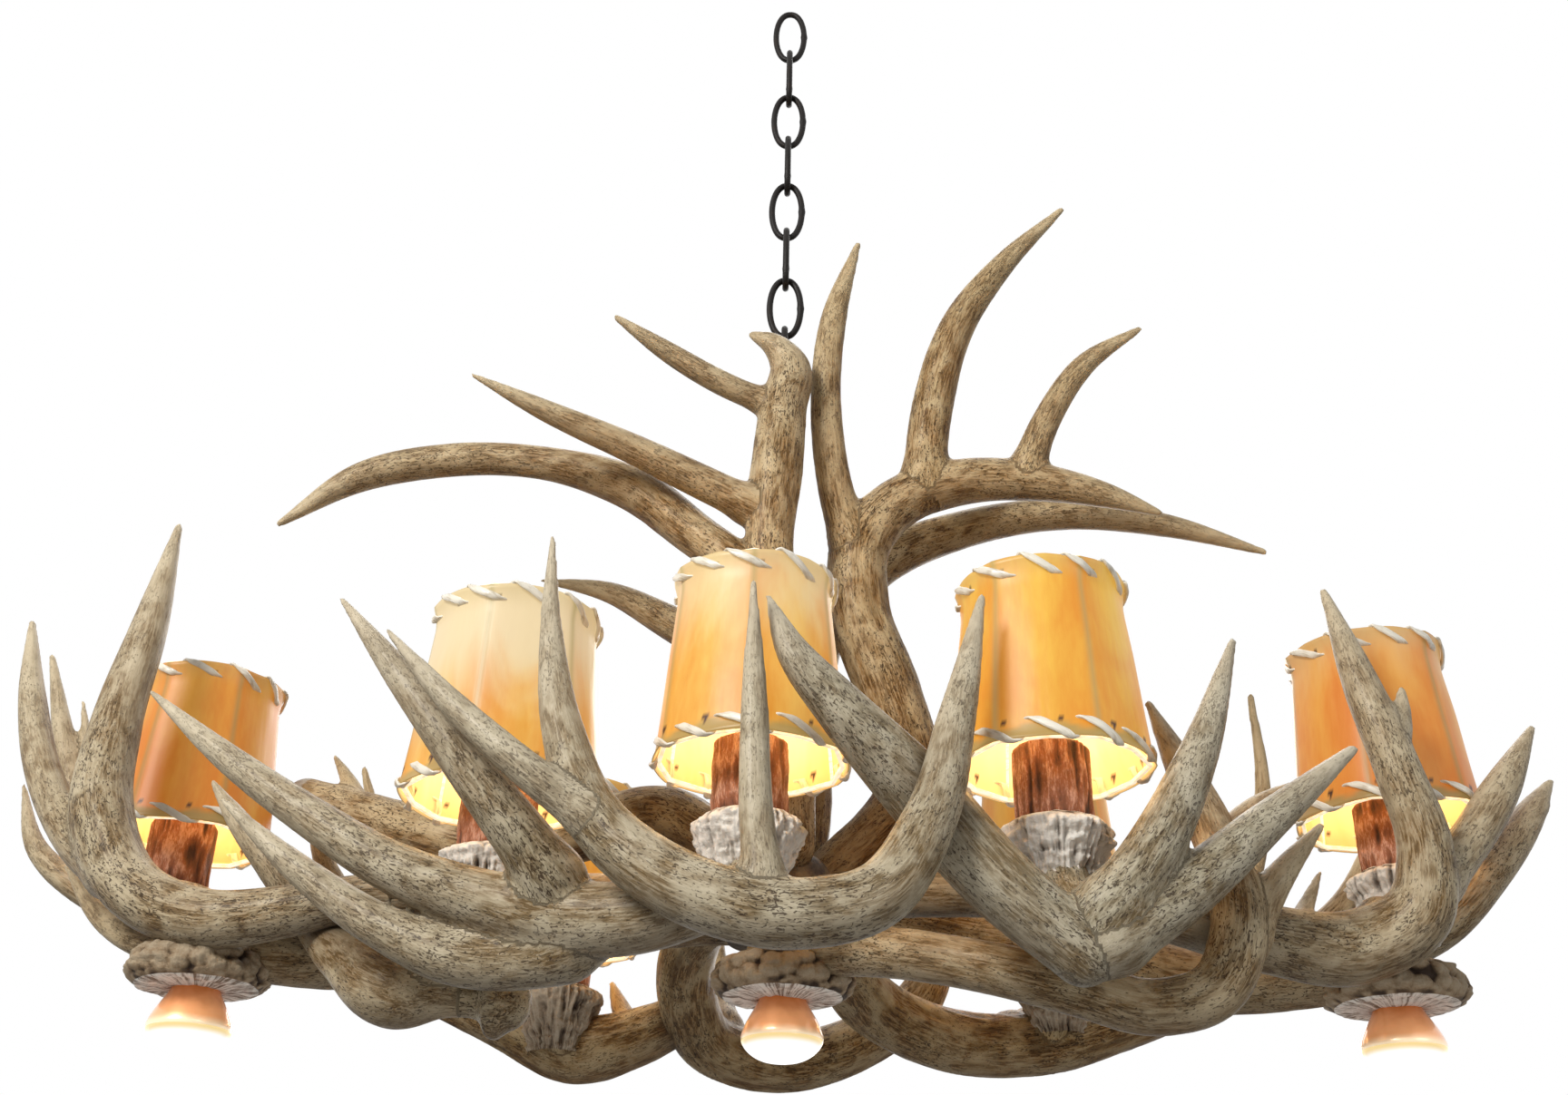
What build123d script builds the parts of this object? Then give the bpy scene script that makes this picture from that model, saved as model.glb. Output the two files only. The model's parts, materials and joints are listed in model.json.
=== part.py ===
"""Antler chandelier: a long basket of cast antlers on a chain, with shaded candle lamps and reflector lamps.

Millimetres, +Z up. The origin is the inside of the top chain link's upper bow, where the ceiling hook goes.
+X runs along the length of the chandelier, to the right as seen from the front, and +Y runs to the back.
"""

from build123d import *
import os

os.makedirs("parts", exist_ok=True)

fit_gap = 0.3  # play between pieces that turn or slide past each other

# ---------------------------------------------------------------- chain
link_wire = 6.5  # thickness of the steel wire
link_length = 75.0  # outside length of one link
link_width = 37.0  # outside width of one link
link_count = 8
link_gap = 0.85  # pitch lost to the play and to the corners of the bends

# ---------------------------------------------------------------- hanging gear
loop_radius = 14.0  # centre line of the hanging loop
collar_radius = 11.0
collar_height = 16.0
stem_radius = 6.5  # steel pipe that carries the hub
stem_bore = 4.5
hub_radius = 42.0
hub_height = 66.0
hub_bottom = -1028.0  # height of the hub's underside
nut_radius = 12.0
nut_height = 8.0
washer_radius = 17.0
washer_height = 2.5

# ---------------------------------------------------------------- antlers
beam_sides = 8  # facets round a beam
tine_sides = 6  # facets round a tine
burr_radius = 38.0  # knobbly rim under each candle
burr_height = 14.0
down_burr_radius = 54.0  # rim round each reflector lamp
down_burr_height = 30.0
burr_sides = 10

# ---------------------------------------------------------------- candle lamps
sleeve_radius = 29.0
sleeve_bore = 14.0
sleeve_height = 58.0
sleeve_sides = 8
holder_radius = 13.5
holder_sides = 8
holder_drop = 4.0  # lampholder's rim below the sleeve's rim
pocket_radius = 6.9
pocket_depth = 16.0
bulb_radius = 17.5
bulb_height = 78.0  # glass above the lampholder
bulb_sides = 8
bulb_cap_radius = 6.0
bulb_cap_height = 15.0

# ---------------------------------------------------------------- shades
shade_height = 150.0
shade_rim_height = 41.0  # lower rim above the burr
shade_top_radius = 68.0
shade_waist_radius = 63.0  # just under the upper rim
shade_bottom_radius = 76.0
shade_lip = 18.0  # height of the flared upper lip
shade_panels = 6
panel_dip = 0.955  # radius at the middle of a panel, as a share of the seam's
hide_thickness = 1.4
frame_wire = 3.0
clip_height = 47.0  # clip above the bulb's foot
clip_width = 5.0
clip_legs = 3
clip_bore = 16.7

# ---------------------------------------------------------------- reflector lamps
lamp_radius = 31.75
lamp_neck_radius = 15.0
lamp_cap_radius = 13.2
lamp_cap_height = 22.0
lamp_drop = 48.0  # what shows below the burr
lamp_dome = 9.0
down_holder_radius = 17.5
down_holder_bore = 13.9
down_holder_height = 33.0
lamp_sides = 12

# Each candle: name, foot (x, y, z) on its burr, and how far its shade is turned.
candles = [
    ("left_end", (-527, 100, -963), 12),
    ("left_front", (-205, -145, -1005), 20),
    ("centre_front", (-19, -160, -980), 30),
    ("right_front", (204, -165, -982), -11),
    ("right_end", (502, -30, -972), 0),
    ("left_rear", (-201, 240, -1012), 40),
    ("right_rear", (266, 240, -988), 8),
]

# Each reflector lamp: name and the middle of the burr face that it hangs from.
downlights = [
    ("left", (-442, -38, -1082)),
    ("centre", (8, -38, -1082)),
    ("right", (480, -38, -1081)),
]

# Antlers: each branch is a line of hand-set points (x, y, z, radius), from its root to its tip.
# The first branch is the beam, and the others are tines that grow out of it.
# They stand in the order in which they are fitted: each is notched to lie against those before it.
antlers = {
    "front_centre_antler": [
        [(-170, -235, -788, 3), (-162, -250, -875, 9), (-147, -262, -951, 15), (-115, -275, -1024, 20), (-55, -285, -1070, 23),
         (10, -288, -1086, 23), (65, -280, -1072, 22), (102, -268, -1017, 19), (125, -255, -936, 14), (148, -240, -835, 4)],
        [(-5, -289, -1078, 14), (-12, -292, -1020, 12), (-15, -287, -945, 10), (-18, -278, -845, 3)],
        [(-108, -276, -1030, 15), (-160, -285, -995, 13), (-218, -280, -945, 10), (-275, -265, -882, 3)],
    ],
    "right_front_antler": [
        [(210, -215, -1089, 24), (150, -228, -1042, 26), (100, -232, -984, 26), (45, -255, -932, 19), (12, -264, -895, 13),
         (-8, -256, -845, 3)],
        [(208, -216, -1082, 23), (250, -225, -1033, 21), (300, -215, -946, 15), (340, -200, -848, 4)],
        [(205, -215, -1093, 23), (275, -213, -1049, 21), (350, -195, -987, 15), (425, -180, -925, 5)],
    ],
    "left_front_antler": [
        [(-38, -250, -1064, 22), (-90, -232, -1074, 25), (-140, -217, -1072, 26), (-205, -213, -1057, 21),
         (-265, -210, -1035, 18), (-325, -205, -1000, 15), (-395, -195, -953, 11), (-465, -185, -898, 3)],
        [(-135, -214, -1066, 22), (-172, -240, -1022, 20), (-215, -250, -972, 16), (-265, -245, -910, 12),
         (-320, -235, -843, 3)],
        [(-115, -212, -1082, 20), (-165, -205, -1097, 20), (-215, -204, -1096, 19), (-265, -200, -1076, 16),
         (-335, -190, -1031, 11), (-398, -182, -980, 3)],
    ],
    "left_end_antler": [
        [(0, -15, -992, 19), (-35, -60, -1005, 18), (-105, -95, -1020, 18), (-225, -112, -1026, 18), (-310, -100, -1026, 18),
         (-365, -92, -1035, 20), (-430, -85, -1040, 23), (-495, -70, -1012, 24), (-538, -55, -945, 25),
         (-548, -40, -865, 21), (-545, -25, -770, 16), (-545, -10, -660, 4)],
        [(-500, -68, -1012, 18), (-555, -45, -970, 17), (-605, -25, -905, 15), (-640, -5, -830, 12), (-665, 10, -750, 4)],
    ],
    "right_end_antler": [
        [(15, -15, -998, 19), (90, -80, -1010, 19), (160, -125, -1020, 20), (225, -140, -1026, 21), (295, -130, -1036, 23),
         (365, -115, -1050, 26), (432, -107, -1052, 28), (475, -125, -1030, 25), (482, -138, -990, 21),
         (470, -145, -930, 18), (455, -140, -858, 15), (440, -130, -768, 4)],
        [(462, -145, -912, 15), (480, -141, -882, 9), (486, -138, -858, 4)],
        [(476, -122, -1020, 20), (520, -110, -980, 17), (565, -100, -925, 15), (605, -90, -868, 4)],
        [(385, -112, -1045, 10), (402, -96, -1018, 7), (420, -85, -988, 3)],
    ],
    "centre_burr_antler": [
        [(0, -40, -1046, 23), (55, -76, -1052, 21), (100, -110, -1064, 19), (155, -138, -1080, 19), (215, -152, -1097, 20),
         (268, -156, -1110, 20), (312, -157, -1096, 21), (330, -162, -1058, 21), (330, -150, -1008, 19),
         (320, -120, -940, 16), (300, -85, -850, 4)],
        [(324, -160, -1078, 18), (358, -155, -1025, 13), (405, -145, -972, 4)],
    ],
    "left_burr_antler": [
        [(-455, -36, -1046, 20), (-390, -30, -1052, 24), (-325, -20, -1050, 26), (-240, -10, -1036, 26), (-155, 0, -1020, 26),
         (-70, 5, -1006, 25), (0, 2, -1005, 24)],
        [(-430, -36, -1047, 19), (-488, -22, -1044, 14), (-538, -5, -1020, 10), (-585, 10, -972, 3)],
    ],
    "right_burr_antler": [
        [(488, -36, -1047, 20), (420, -22, -1053, 25), (345, -6, -1054, 26), (250, -5, -1035, 25), (165, -4, -1020, 25),
         (80, -3, -1006, 25), (20, 0, -1000, 24)],
    ],
    "lower_left_antler": [
        [(-198, -130, -1109, 12), (-230, -128, -1106, 14), (-266, -118, -1100, 27), (-318, -88, -1067, 21),
         (-352, -58, -1037, 16), (-393, -58, -991, 13), (-425, -60, -955, 10), (-452, -62, -922, 3)],
        [(-262, -122, -1090, 18), (-227, -133, -1086, 14), (-183, -138, -1077, 10), (-140, -140, -1068, 4)],
        [(-208, -129, -1108, 15), (-203, -129, -1108, 22), (-192, -130, -1109, 22), (-188, -130, -1109, 17)],
    ],
    "left_outer_antler": [
        [(0, 15, -985, 21), (-100, 50, -986, 22), (-225, 76, -990, 23), (-325, 90, -992, 23), (-415, 96, -1000, 23),
         (-500, 102, -1004, 23), (-580, 150, -973, 21), (-645, 190, -905, 18), (-688, 200, -818, 14), (-735, 205, -695, 4)],
        [(-640, 188, -905, 13), (-668, 200, -822, 9), (-695, 210, -742, 3)],
        [(-550, 120, -982, 18), (-605, 110, -965, 14), (-660, 113, -925, 10), (-690, 120, -863, 3)],
    ],
    "right_outer_antler": [
        [(25, 15, -976, 21), (150, 60, -972, 22), (270, 76, -980, 23), (375, 66, -1000, 23), (430, 46, -1014, 21),
         (482, 30, -1022, 21), (540, 20, -1002, 21), (600, 25, -950, 19), (650, 35, -895, 13), (678, 45, -862, 4)],
        [(615, 29, -935, 12), (645, 30, -908, 8), (667, 35, -888, 3)],
        [(325, 72, -992, 15), (380, 95, -925, 15), (435, 110, -868, 11), (480, 120, -838, 3)],
    ],
    "rear_centre_antler": [
        [(0, 15, -996, 21), (-42, 60, -986, 23), (-70, 120, -992, 25), (-78, 190, -1026, 27), (-60, 240, -1057, 27),
         (10, 280, -1067, 28), (85, 295, -1043, 26), (140, 292, -1005, 23), (165, 290, -935, 16), (172, 285, -820, 4)],
        [(-45, 258, -1062, 22), (-58, 308, -1000, 19), (-70, 320, -910, 14), (-80, 315, -813, 4)],
    ],
    "rear_right_antler": [
        [(25, 22, -1002, 24), (55, 110, -1014, 27), (95, 190, -1036, 28), (165, 242, -1052, 29), (255, 258, -1050, 28),
         (350, 250, -1024, 24), (450, 236, -988, 20), (540, 220, -925, 13), (585, 210, -840, 4)],
        [(210, 252, -1054, 23), (265, 320, -1010, 20), (305, 348, -910, 14), (322, 355, -793, 4)],
        [(400, 245, -1008, 18), (455, 260, -915, 14), (492, 264, -800, 9), (490, 255, -693, 4)],
    ],
    "rear_left_antler": [
        [(-82, 222, -1040, 22), (-130, 245, -1055, 27), (-180, 262, -1062, 32), (-245, 256, -1040, 27), (-345, 240, -996, 22),
         (-410, 226, -938, 16), (-455, 215, -853, 4)],
        [(-205, 258, -1055, 22), (-310, 285, -992, 18), (-390, 300, -880, 13), (-430, 302, -773, 4)],
        [(-128, 262, -1052, 13), (-146, 288, -1018, 10), (-158, 304, -990, 4)],
    ],
    "upper_left_antler": [
        [(10, -40, -962, 23), (5, -42, -855, 26), (-5, -46, -775, 25), (-10, -50, -690, 22),
         (-5, -52, -615, 24), (0, -52, -550, 22), (5, -55, -505, 19), (-10, -60, -485, 12), (-30, -60, -474, 5)],
        [(-5, -50, -548, 12), (-60, -65, -530, 12), (-110, -75, -503, 10), (-155, -90, -478, 4)],
        [(-10, -50, -662, 17), (-75, -65, -635, 16), (-135, -85, -615, 14), (-210, -110, -593, 10), (-270, -130, -572, 3)],
        [(0, -48, -735, 19), (-70, -38, -680, 20), (-135, -30, -625, 21), (-215, -25, -597, 16), (-305, -20, -592, 16),
         (-385, -20, -612, 14), (-450, -25, -665, 4)],
    ],
    "upper_right_antler": [
        [(35, 10, -985, 25), (115, 28, -885, 30), (98, 22, -800, 29), (72, 15, -720, 28), (75, 10, -655, 27),
         (110, 8, -612, 24), (170, 2, -592, 22), (240, -5, -596, 18), (300, -10, -612, 12), (345, -15, -632, 4)],
        [(72, 12, -680, 20), (50, -8, -610, 17), (40, -25, -530, 15), (47, -35, -435, 13), (70, -45, -352, 4)],
        [(132, 5, -612, 20), (140, -10, -525, 20), (170, -28, -428, 17), (212, -40, -370, 12), (270, -55, -313, 4)],
        [(222, -2, -600, 17), (245, -20, -540, 14), (285, -35, -482, 11), (335, -50, -452, 4)],
    ],
    "upper_rear_antler": [
        [(18, 28, -975, 21), (25, 60, -900, 24), (25, 75, -825, 25), (38, 80, -715, 25), (90, 82, -642, 23),
         (175, 86, -597, 19), (285, 95, -572, 16), (385, 105, -578, 12), (480, 115, -600, 4)],
        [(25, 80, -795, 21), (-45, 85, -738, 21), (-105, 95, -698, 17), (-165, 110, -660, 11), (-235, 125, -640, 3)],
    ],
    "inner_left_antler": [
        [(-440, 150, -862, 21), (-380, 140, -882, 24), (-315, 120, -904, 25), (-235, 98, -924, 24), (-160, 72, -912, 26),
         (-100, 50, -905, 26), (-30, 22, -950, 22)],
        [(-378, 142, -885, 13), (-402, 150, -842, 8), (-420, 156, -816, 3)],
    ],
}

# Which antler carries each candle and each reflector lamp, and the point of its beam where the stalk starts.
candle_carriers = {
    "left_end": ("left_outer_antler", (-500, 102, -1004, 23)),
    "left_front": ("left_front_antler", (-155, -212, -1068, 22)),
    "centre_front": ("front_centre_antler", (5, -275, -1078, 18)),
    "right_front": ("right_front_antler", (210, -215, -1078, 22)),
    "right_end": ("right_end_antler", (452, -100, -1034, 22)),
    "left_rear": ("rear_left_antler", (-182, 262, -1062, 31)),
    "right_rear": ("rear_right_antler", (255, 256, -1048, 27)),
}
downlight_carriers = {
    "left": "left_burr_antler",
    "centre": "centre_burr_antler",
    "right": "right_burr_antler",
}
stalk_radius = 23.0
stalk_bend = 26.0  # depth below the burr at which a stalk turns upright

# Screws, from head to point. All are sunk out of sight, half in one piece and half in the other.
screw_radius = 3.0
screw_lines = [
    # out of the hub into the beams
    ((-8, -25, -995), (-38, -64, -1006)),
    ((22, -21, -999), (62, -56, -1005)),
    ((-24, 3, -1005), (-70, 5, -1006)),
    ((26, 0, -1001), (72, -3, -1005)),
    ((-22, 23, -985), (-66, 38, -986)),
    ((28, 17, -976), (72, 33, -974)),
    ((-16, 29, -993), (-46, 56, -987)),
    ((26, 26, -1003), (42, 72, -1010)),
    ((8, -34, -985), (8, -38, -930)),
    ((30, 9, -990), (66, 17, -946)),
    ((17, 22, -990), (22, 48, -930)),
    # where antlers cross
    ((104, -224, -988), (111, -272, -986)),
    ((-37, -242, -1060), (-44, -294, -1073)),
    ((332, -164, -1033), (321, -114, -1043)),
    ((-76, 214, -1041), (-122, 241, -1053)),
    ((-207, -156, -1032), (-203, -98, -1025)),
    ((204, -174, -1004), (204, -124, -1029)),
    ((-442, -92, -1042), (-442, -62, -1052)),
    ((492, -32, -1006), (492, -36, -1034)),
    ((-92, 48, -984), (-100, 50, -920)),
    ((-358, -90, -1033), (-354, -56, -1036)),
]


def mitred_rings(points, sides, first_side):
    """Corners of a tapering many-sided tube along points of (x, y, z, radius), one ring on each mitre plane.

    Each side of a stretch runs towards the stretch's own apex, so every facet is flat.
    first_side is the direction from the first centre to the first corner.
    """
    centres = [Vector(*point[:3]) for point in points]
    radii = [point[3] for point in points]
    headings = [(b - a).normalized() for a, b in zip(centres, centres[1:])]
    normals = [headings[0]]
    normals += [(a + b).normalized() for a, b in zip(headings, headings[1:])]
    normals.append(headings[-1])
    first_side = (first_side - normals[0] * first_side.dot(normals[0])).normalized()
    corners = [
        centres[0] + first_side.rotate(Axis((0, 0, 0), tuple(normals[0])), 360 * i / sides) * radii[0]
        for i in range(sides)
    ]
    rings = [corners]
    for start, end, normal, r_start, r_end in zip(centres, centres[1:], normals[1:], radii, radii[1:]):
        moved = []
        for corner in corners:
            run = (end - start) + (corner - start) * (r_end / r_start - 1)
            moved.append(corner + run * ((end - corner).dot(normal) / run.dot(normal)))
        corners = moved
        rings.append(corners)
    return rings


def skin(rings):
    """Add the solid whose flat facets join one ring of corners to the next, closed at both ends."""
    facets = [Face(Wire.make_polygon(rings[0])), Face(Wire.make_polygon(rings[-1]))]
    for lower, upper in zip(rings, rings[1:]):
        for i in range(len(lower)):
            j = (i + 1) % len(lower)
            facets.append(Face(Wire.make_polygon([lower[i], lower[j], upper[j], upper[i]])))
    add(Solid(Shell(facets)))


def tube(points, sides, first_side=Vector(0.31, 0.42, 0.85)):
    """Add a tapering many-sided tube to the part that is being built."""
    skin(mitred_rings(points, sides, first_side))


def outline(radius, sides, turn=0.0, dip=1.0):
    """Corners of a level polygon about the origin; every second corner is drawn in by dip."""
    corners = []
    for i in range(sides):
        reach = radius * (dip if i % 2 else 1)
        corners.append(Vector(reach, 0, 0).rotate(Axis.Z, turn + 360 * i / sides))
    return corners


def stack(levels, sides, turn=0.0, centre=(0, 0), dip=1.0):
    """Add a stack of flat-sided tapers through (height, radius) levels about a vertical line."""
    skin([
        [corner + Vector(*centre, height) for corner in outline(radius, sides, turn, dip)]
        for height, radius in levels
    ])


def bore(bottom, top, radius, sides, turn=0.0, centre=(0, 0)):
    """Cut a flat-sided hole from bottom to top about a vertical line."""
    with BuildSketch(Plane.XY.offset(bottom)) as hole:
        with Locations(centre):
            RegularPolygon(radius, sides, rotation=turn)
    extrude(hole.sketch, amount=top - bottom, mode=Mode.SUBTRACT)


def placed(shape, spot, turn=0.0):
    """A copy of a shape, turned about the vertical and moved to a spot."""
    return shape.moved(Location(spot, (0, 0, turn)))


def save(part, name):
    part.label = name
    export_step(part, f"parts/{name}.step")


# ---------------------------------------------------------------- chain links
link_pitch = link_length - 2 * link_wire - link_gap
bow_radius = (link_width - link_wire) / 2
straight_half = link_length / 2 - link_wire / 2 - bow_radius
bow_steps = 4
half_link = [(-bow_radius, 0, 0, link_wire / 2)]
for step in range(bow_steps + 1):
    bow_point = Vector(-bow_radius, 0, 0).rotate(Axis.Y, 180 * step / bow_steps)
    half_link.append((bow_point.X, 0, straight_half + bow_point.Z, link_wire / 2))
half_link.append((bow_radius, 0, 0, link_wire / 2))

with BuildPart() as link:
    tube(half_link, 6, Vector(1, 0, 0))
    mirror(about=Plane.XY)

first_link_height = -(link_length / 2 - link_wire)
for number in range(link_count):
    side_on = number % 2 == 1
    with BuildPart() as chain_link:
        add(placed(link.part, (0, 0, first_link_height - number * link_pitch), 90 if side_on else 0))
    save(chain_link.part, f"chain_link_{number + 1}")

# ---------------------------------------------------------------- hanging loop, stem, hub and its nuts
last_link_height = first_link_height - (link_count - 1) * link_pitch
loop_top = last_link_height - link_length / 2 + link_wire + link_wire + link_gap
loop_height = loop_top - link_wire / 2 - loop_radius
collar_top = loop_height - loop_radius + link_wire / 4
loop_steps = 6
half_loop = []
for step in range(loop_steps + 1):
    ring_point = Vector(-loop_radius, 0, 0).rotate(Axis.Y, 180 * step / loop_steps)
    half_loop.append((ring_point.X, 0, ring_point.Z, link_wire / 2))

with BuildPart() as half_ring:
    tube(half_loop, 6, Vector(1, 0, 0))
    mirror(about=Plane.XY)

collar_bottom = collar_top - collar_height
with BuildPart() as hanging_loop:
    add(placed(half_ring.part, (0, 0, loop_height)))
    stack([(collar_bottom, collar_radius), (collar_top, collar_radius)], 8)
save(hanging_loop.part, "hanging_loop")

hub_top = hub_bottom + hub_height
stem_bottom = hub_bottom - washer_height - nut_height
with BuildPart() as stem_pipe:
    stack([(stem_bottom, stem_radius), (collar_bottom, stem_radius)], 8)
    bore(stem_bottom, collar_bottom, stem_bore, 8)
save(stem_pipe.part, "stem_pipe")

with BuildPart() as antler_screws:
    for head, point in screw_lines:
        tube([(*head, screw_radius), (*point, screw_radius)], 4)
save(antler_screws.part, "antler_screws")

with BuildPart() as hub_block:
    stack([(hub_bottom, hub_radius), (hub_top, hub_radius)], 12)
    bore(hub_bottom, hub_top, stem_radius + fit_gap, 8)
    add(antler_screws.part, mode=Mode.SUBTRACT)
save(hub_block.part, "hub_block")

with BuildPart() as hub_nuts:
    for side, face in ((1, hub_top), (-1, hub_bottom)):
        washer_face, nut_face = sorted((face, face + side * washer_height))
        stack([(washer_face, washer_radius), (nut_face, washer_radius)], 8)
        nut_foot, nut_head = sorted((face + side * washer_height, face + side * (washer_height + nut_height)))
        stack([(nut_foot, nut_radius), (nut_head, nut_radius)], 6)
    bore(stem_bottom, hub_top + washer_height + nut_height, stem_radius + fit_gap, 8)
save(hub_nuts.part, "hub_nuts")

# ---------------------------------------------------------------- antlers
burr_levels = [(1.0, 0.7), (0.75, 0.98), (0.35, 1.0), (0.0, 0.86)]  # depth and swell from the beam to the cut


def burr(spot, radius, height, direction, turn):
    """Add the knobbly crown of an antler's foot, cut flat at spot and facing up (1) or down (-1)."""
    x, y, z = spot
    levels = [(z - direction * depth * height, radius * swell) for depth, swell in burr_levels]
    stack(sorted(levels), burr_sides, turn, (x, y))


antler_parts = {}
for name, branches in antlers.items():
    with BuildPart() as antler:
        for number, branch in enumerate(branches):
            tube(branch, beam_sides if number == 0 else tine_sides)
        for candle, (x, y, z), turn in candles:
            carrier, start = candle_carriers[candle]
            if carrier == name:
                neck = (x, y, z - stalk_bend, stalk_radius)
                tube([start, neck, (x, y, z - burr_height / 2, stalk_radius)], beam_sides)
                burr((x, y, z), burr_radius, burr_height, 1, turn)
        for lamp, (x, y, z) in downlights:
            if downlight_carriers[lamp] == name:
                burr((x, y, z), down_burr_radius, down_burr_height, -1, 0)
                bore(z, z + down_holder_height, down_holder_radius, lamp_sides, centre=(x, y))
        add(hub_block.part, mode=Mode.SUBTRACT)
        add(hub_nuts.part, mode=Mode.SUBTRACT)
        add(stem_pipe.part, mode=Mode.SUBTRACT)
        add(antler_screws.part, mode=Mode.SUBTRACT)
        for earlier in antler_parts.values():
            add(earlier, mode=Mode.SUBTRACT)
    antler_parts[name] = antler.part.solids().sort_by(SortBy.VOLUME)[-1]
    save(antler_parts[name], name)

# ---------------------------------------------------------------- candles: sleeve, lampholder and bulb
holder_height = sleeve_height - holder_drop
bulb_levels = [(0, 7), (9, 13), (24, bulb_radius), (40, bulb_radius), (bulb_height, 2)]

with BuildPart() as sleeve:
    stack([(0, sleeve_radius), (sleeve_height, sleeve_radius)], sleeve_sides)
    bore(0, sleeve_height, sleeve_bore, holder_sides)

with BuildPart() as holder:
    stack([(0, holder_radius), (holder_height, holder_radius)], holder_sides)
    bore(holder_height - pocket_depth, holder_height, pocket_radius, holder_sides)

with BuildPart() as bulb:
    stack([(height + fit_gap, radius) for height, radius in bulb_levels], bulb_sides)
    stack([(fit_gap - bulb_cap_height, bulb_cap_radius), (fit_gap, bulb_cap_radius)], bulb_sides)

with BuildPart() as candle_sleeves:
    for candle, spot, turn in candles:
        add(placed(sleeve.part, spot, turn))
save(candle_sleeves.part, "candle_sleeves")

# ---------------------------------------------------------------- shades: wire frame and hide
hide_levels = [
    (0, shade_bottom_radius),
    (shade_height - shade_lip, shade_waist_radius),
    (shade_height, shade_top_radius),
]
shade_corners = 2 * shade_panels


def inside(radius):
    """Radius inside the hide and clear of it."""
    return radius - hide_thickness - fit_gap


def hoop(bottom, radius):
    """Add a wire hoop that follows the panels."""
    top = bottom + frame_wire
    for reach, mode in ((radius, Mode.ADD), (radius - frame_wire, Mode.SUBTRACT)):
        with BuildSketch(Plane.XY.offset(bottom)) as ring:
            with BuildLine():
                Polyline(*outline(reach, shade_corners, dip=panel_dip), close=True)
            make_face()
        extrude(ring.sketch, amount=top - bottom, mode=mode)


with BuildPart() as hide:
    stack(hide_levels, shade_corners, dip=panel_dip)
with BuildPart() as hollow:
    stack([(height, radius - hide_thickness) for height, radius in hide_levels], shade_corners, dip=panel_dip)
with BuildPart() as shade_cover:
    add(hide.part)
    add(hollow.part, mode=Mode.SUBTRACT)

clip_bottom = holder_height - shade_rim_height + clip_height
clip_reach = clip_bore + frame_wire / 2


def wire(points, bearing):
    """Add a straight-sided wire through (distance from the axis, height) points on one side of the shade."""
    path = [Vector(reach, 0, height).rotate(Axis.Z, bearing) for reach, height in points]
    tube([(spot.X, spot.Y, spot.Z, frame_wire / 2) for spot in path], 3)


with BuildPart() as shade_frame:
    hoop(0, inside(shade_bottom_radius) - 1)
    hoop(shade_height - frame_wire, inside(shade_top_radius) - 2)
    for i in range(clip_legs):
        bearing = 360 * i / clip_legs
        wire([
            (inside(shade_bottom_radius) - 2.5, frame_wire / 2),
            (inside(shade_waist_radius) - 2, shade_height - shade_lip),
            (inside(shade_top_radius) - 3.5, shade_height - frame_wire / 2),
        ], bearing)
        wire([(inside(shade_top_radius) - 4, shade_height - 2), (clip_reach, clip_bottom + clip_width / 2)], bearing)
    stack([(clip_bottom, clip_bore + frame_wire), (clip_bottom + clip_width, clip_bore + frame_wire)], bulb_sides)
    bore(clip_bottom, clip_bottom + clip_width, clip_bore, bulb_sides)

for candle, spot, turn in candles:
    x, y, z = spot
    rim = (x, y, z + shade_rim_height)
    with BuildPart() as candle_bulb:
        add(placed(bulb.part, (x, y, z + holder_height), turn + 180 / bulb_sides))
    save(candle_bulb.part, f"{candle}_bulb")
    with BuildPart() as frame_part:
        add(placed(shade_frame.part, rim, turn))
    save(frame_part.part, f"{candle}_shade_frame")
    with BuildPart() as cover_part:
        add(placed(shade_cover.part, rim, turn))
    save(cover_part.part, f"{candle}_shade_cover")

# ---------------------------------------------------------------- reflector lamps
down_cup_levels = [(-lamp_drop, 8), (lamp_dome - lamp_drop, 25), (lamp_dome + 4 - lamp_drop, lamp_radius),
                   (lamp_dome + 10 - lamp_drop, lamp_radius), (-14, 21), (-fit_gap, lamp_neck_radius)]

with BuildPart() as reflector:
    stack(down_cup_levels, lamp_sides)
    stack([(-fit_gap, lamp_cap_radius), (lamp_cap_height, lamp_cap_radius)], lamp_sides)

with BuildPart() as down_holder:
    stack([(0, down_holder_radius), (down_holder_height, down_holder_radius)], lamp_sides)
    bore(0, lamp_cap_height + 2, down_holder_bore, lamp_sides)

for lamp, spot in downlights:
    with BuildPart() as reflector_lamp:
        add(placed(reflector.part, spot))
    save(reflector_lamp.part, f"{lamp}_reflector_lamp")

with BuildPart() as lampholders:
    for candle, spot, turn in candles:
        add(placed(holder.part, spot, turn))
    for lamp, spot in downlights:
        add(placed(down_holder.part, spot))
save(lampholders.part, "lampholders")
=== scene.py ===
"""Looks of the antler chandelier, laid out as a Blender add-on and run as a script.

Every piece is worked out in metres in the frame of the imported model, from points written in millimetres.
"""

import json
import math

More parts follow.
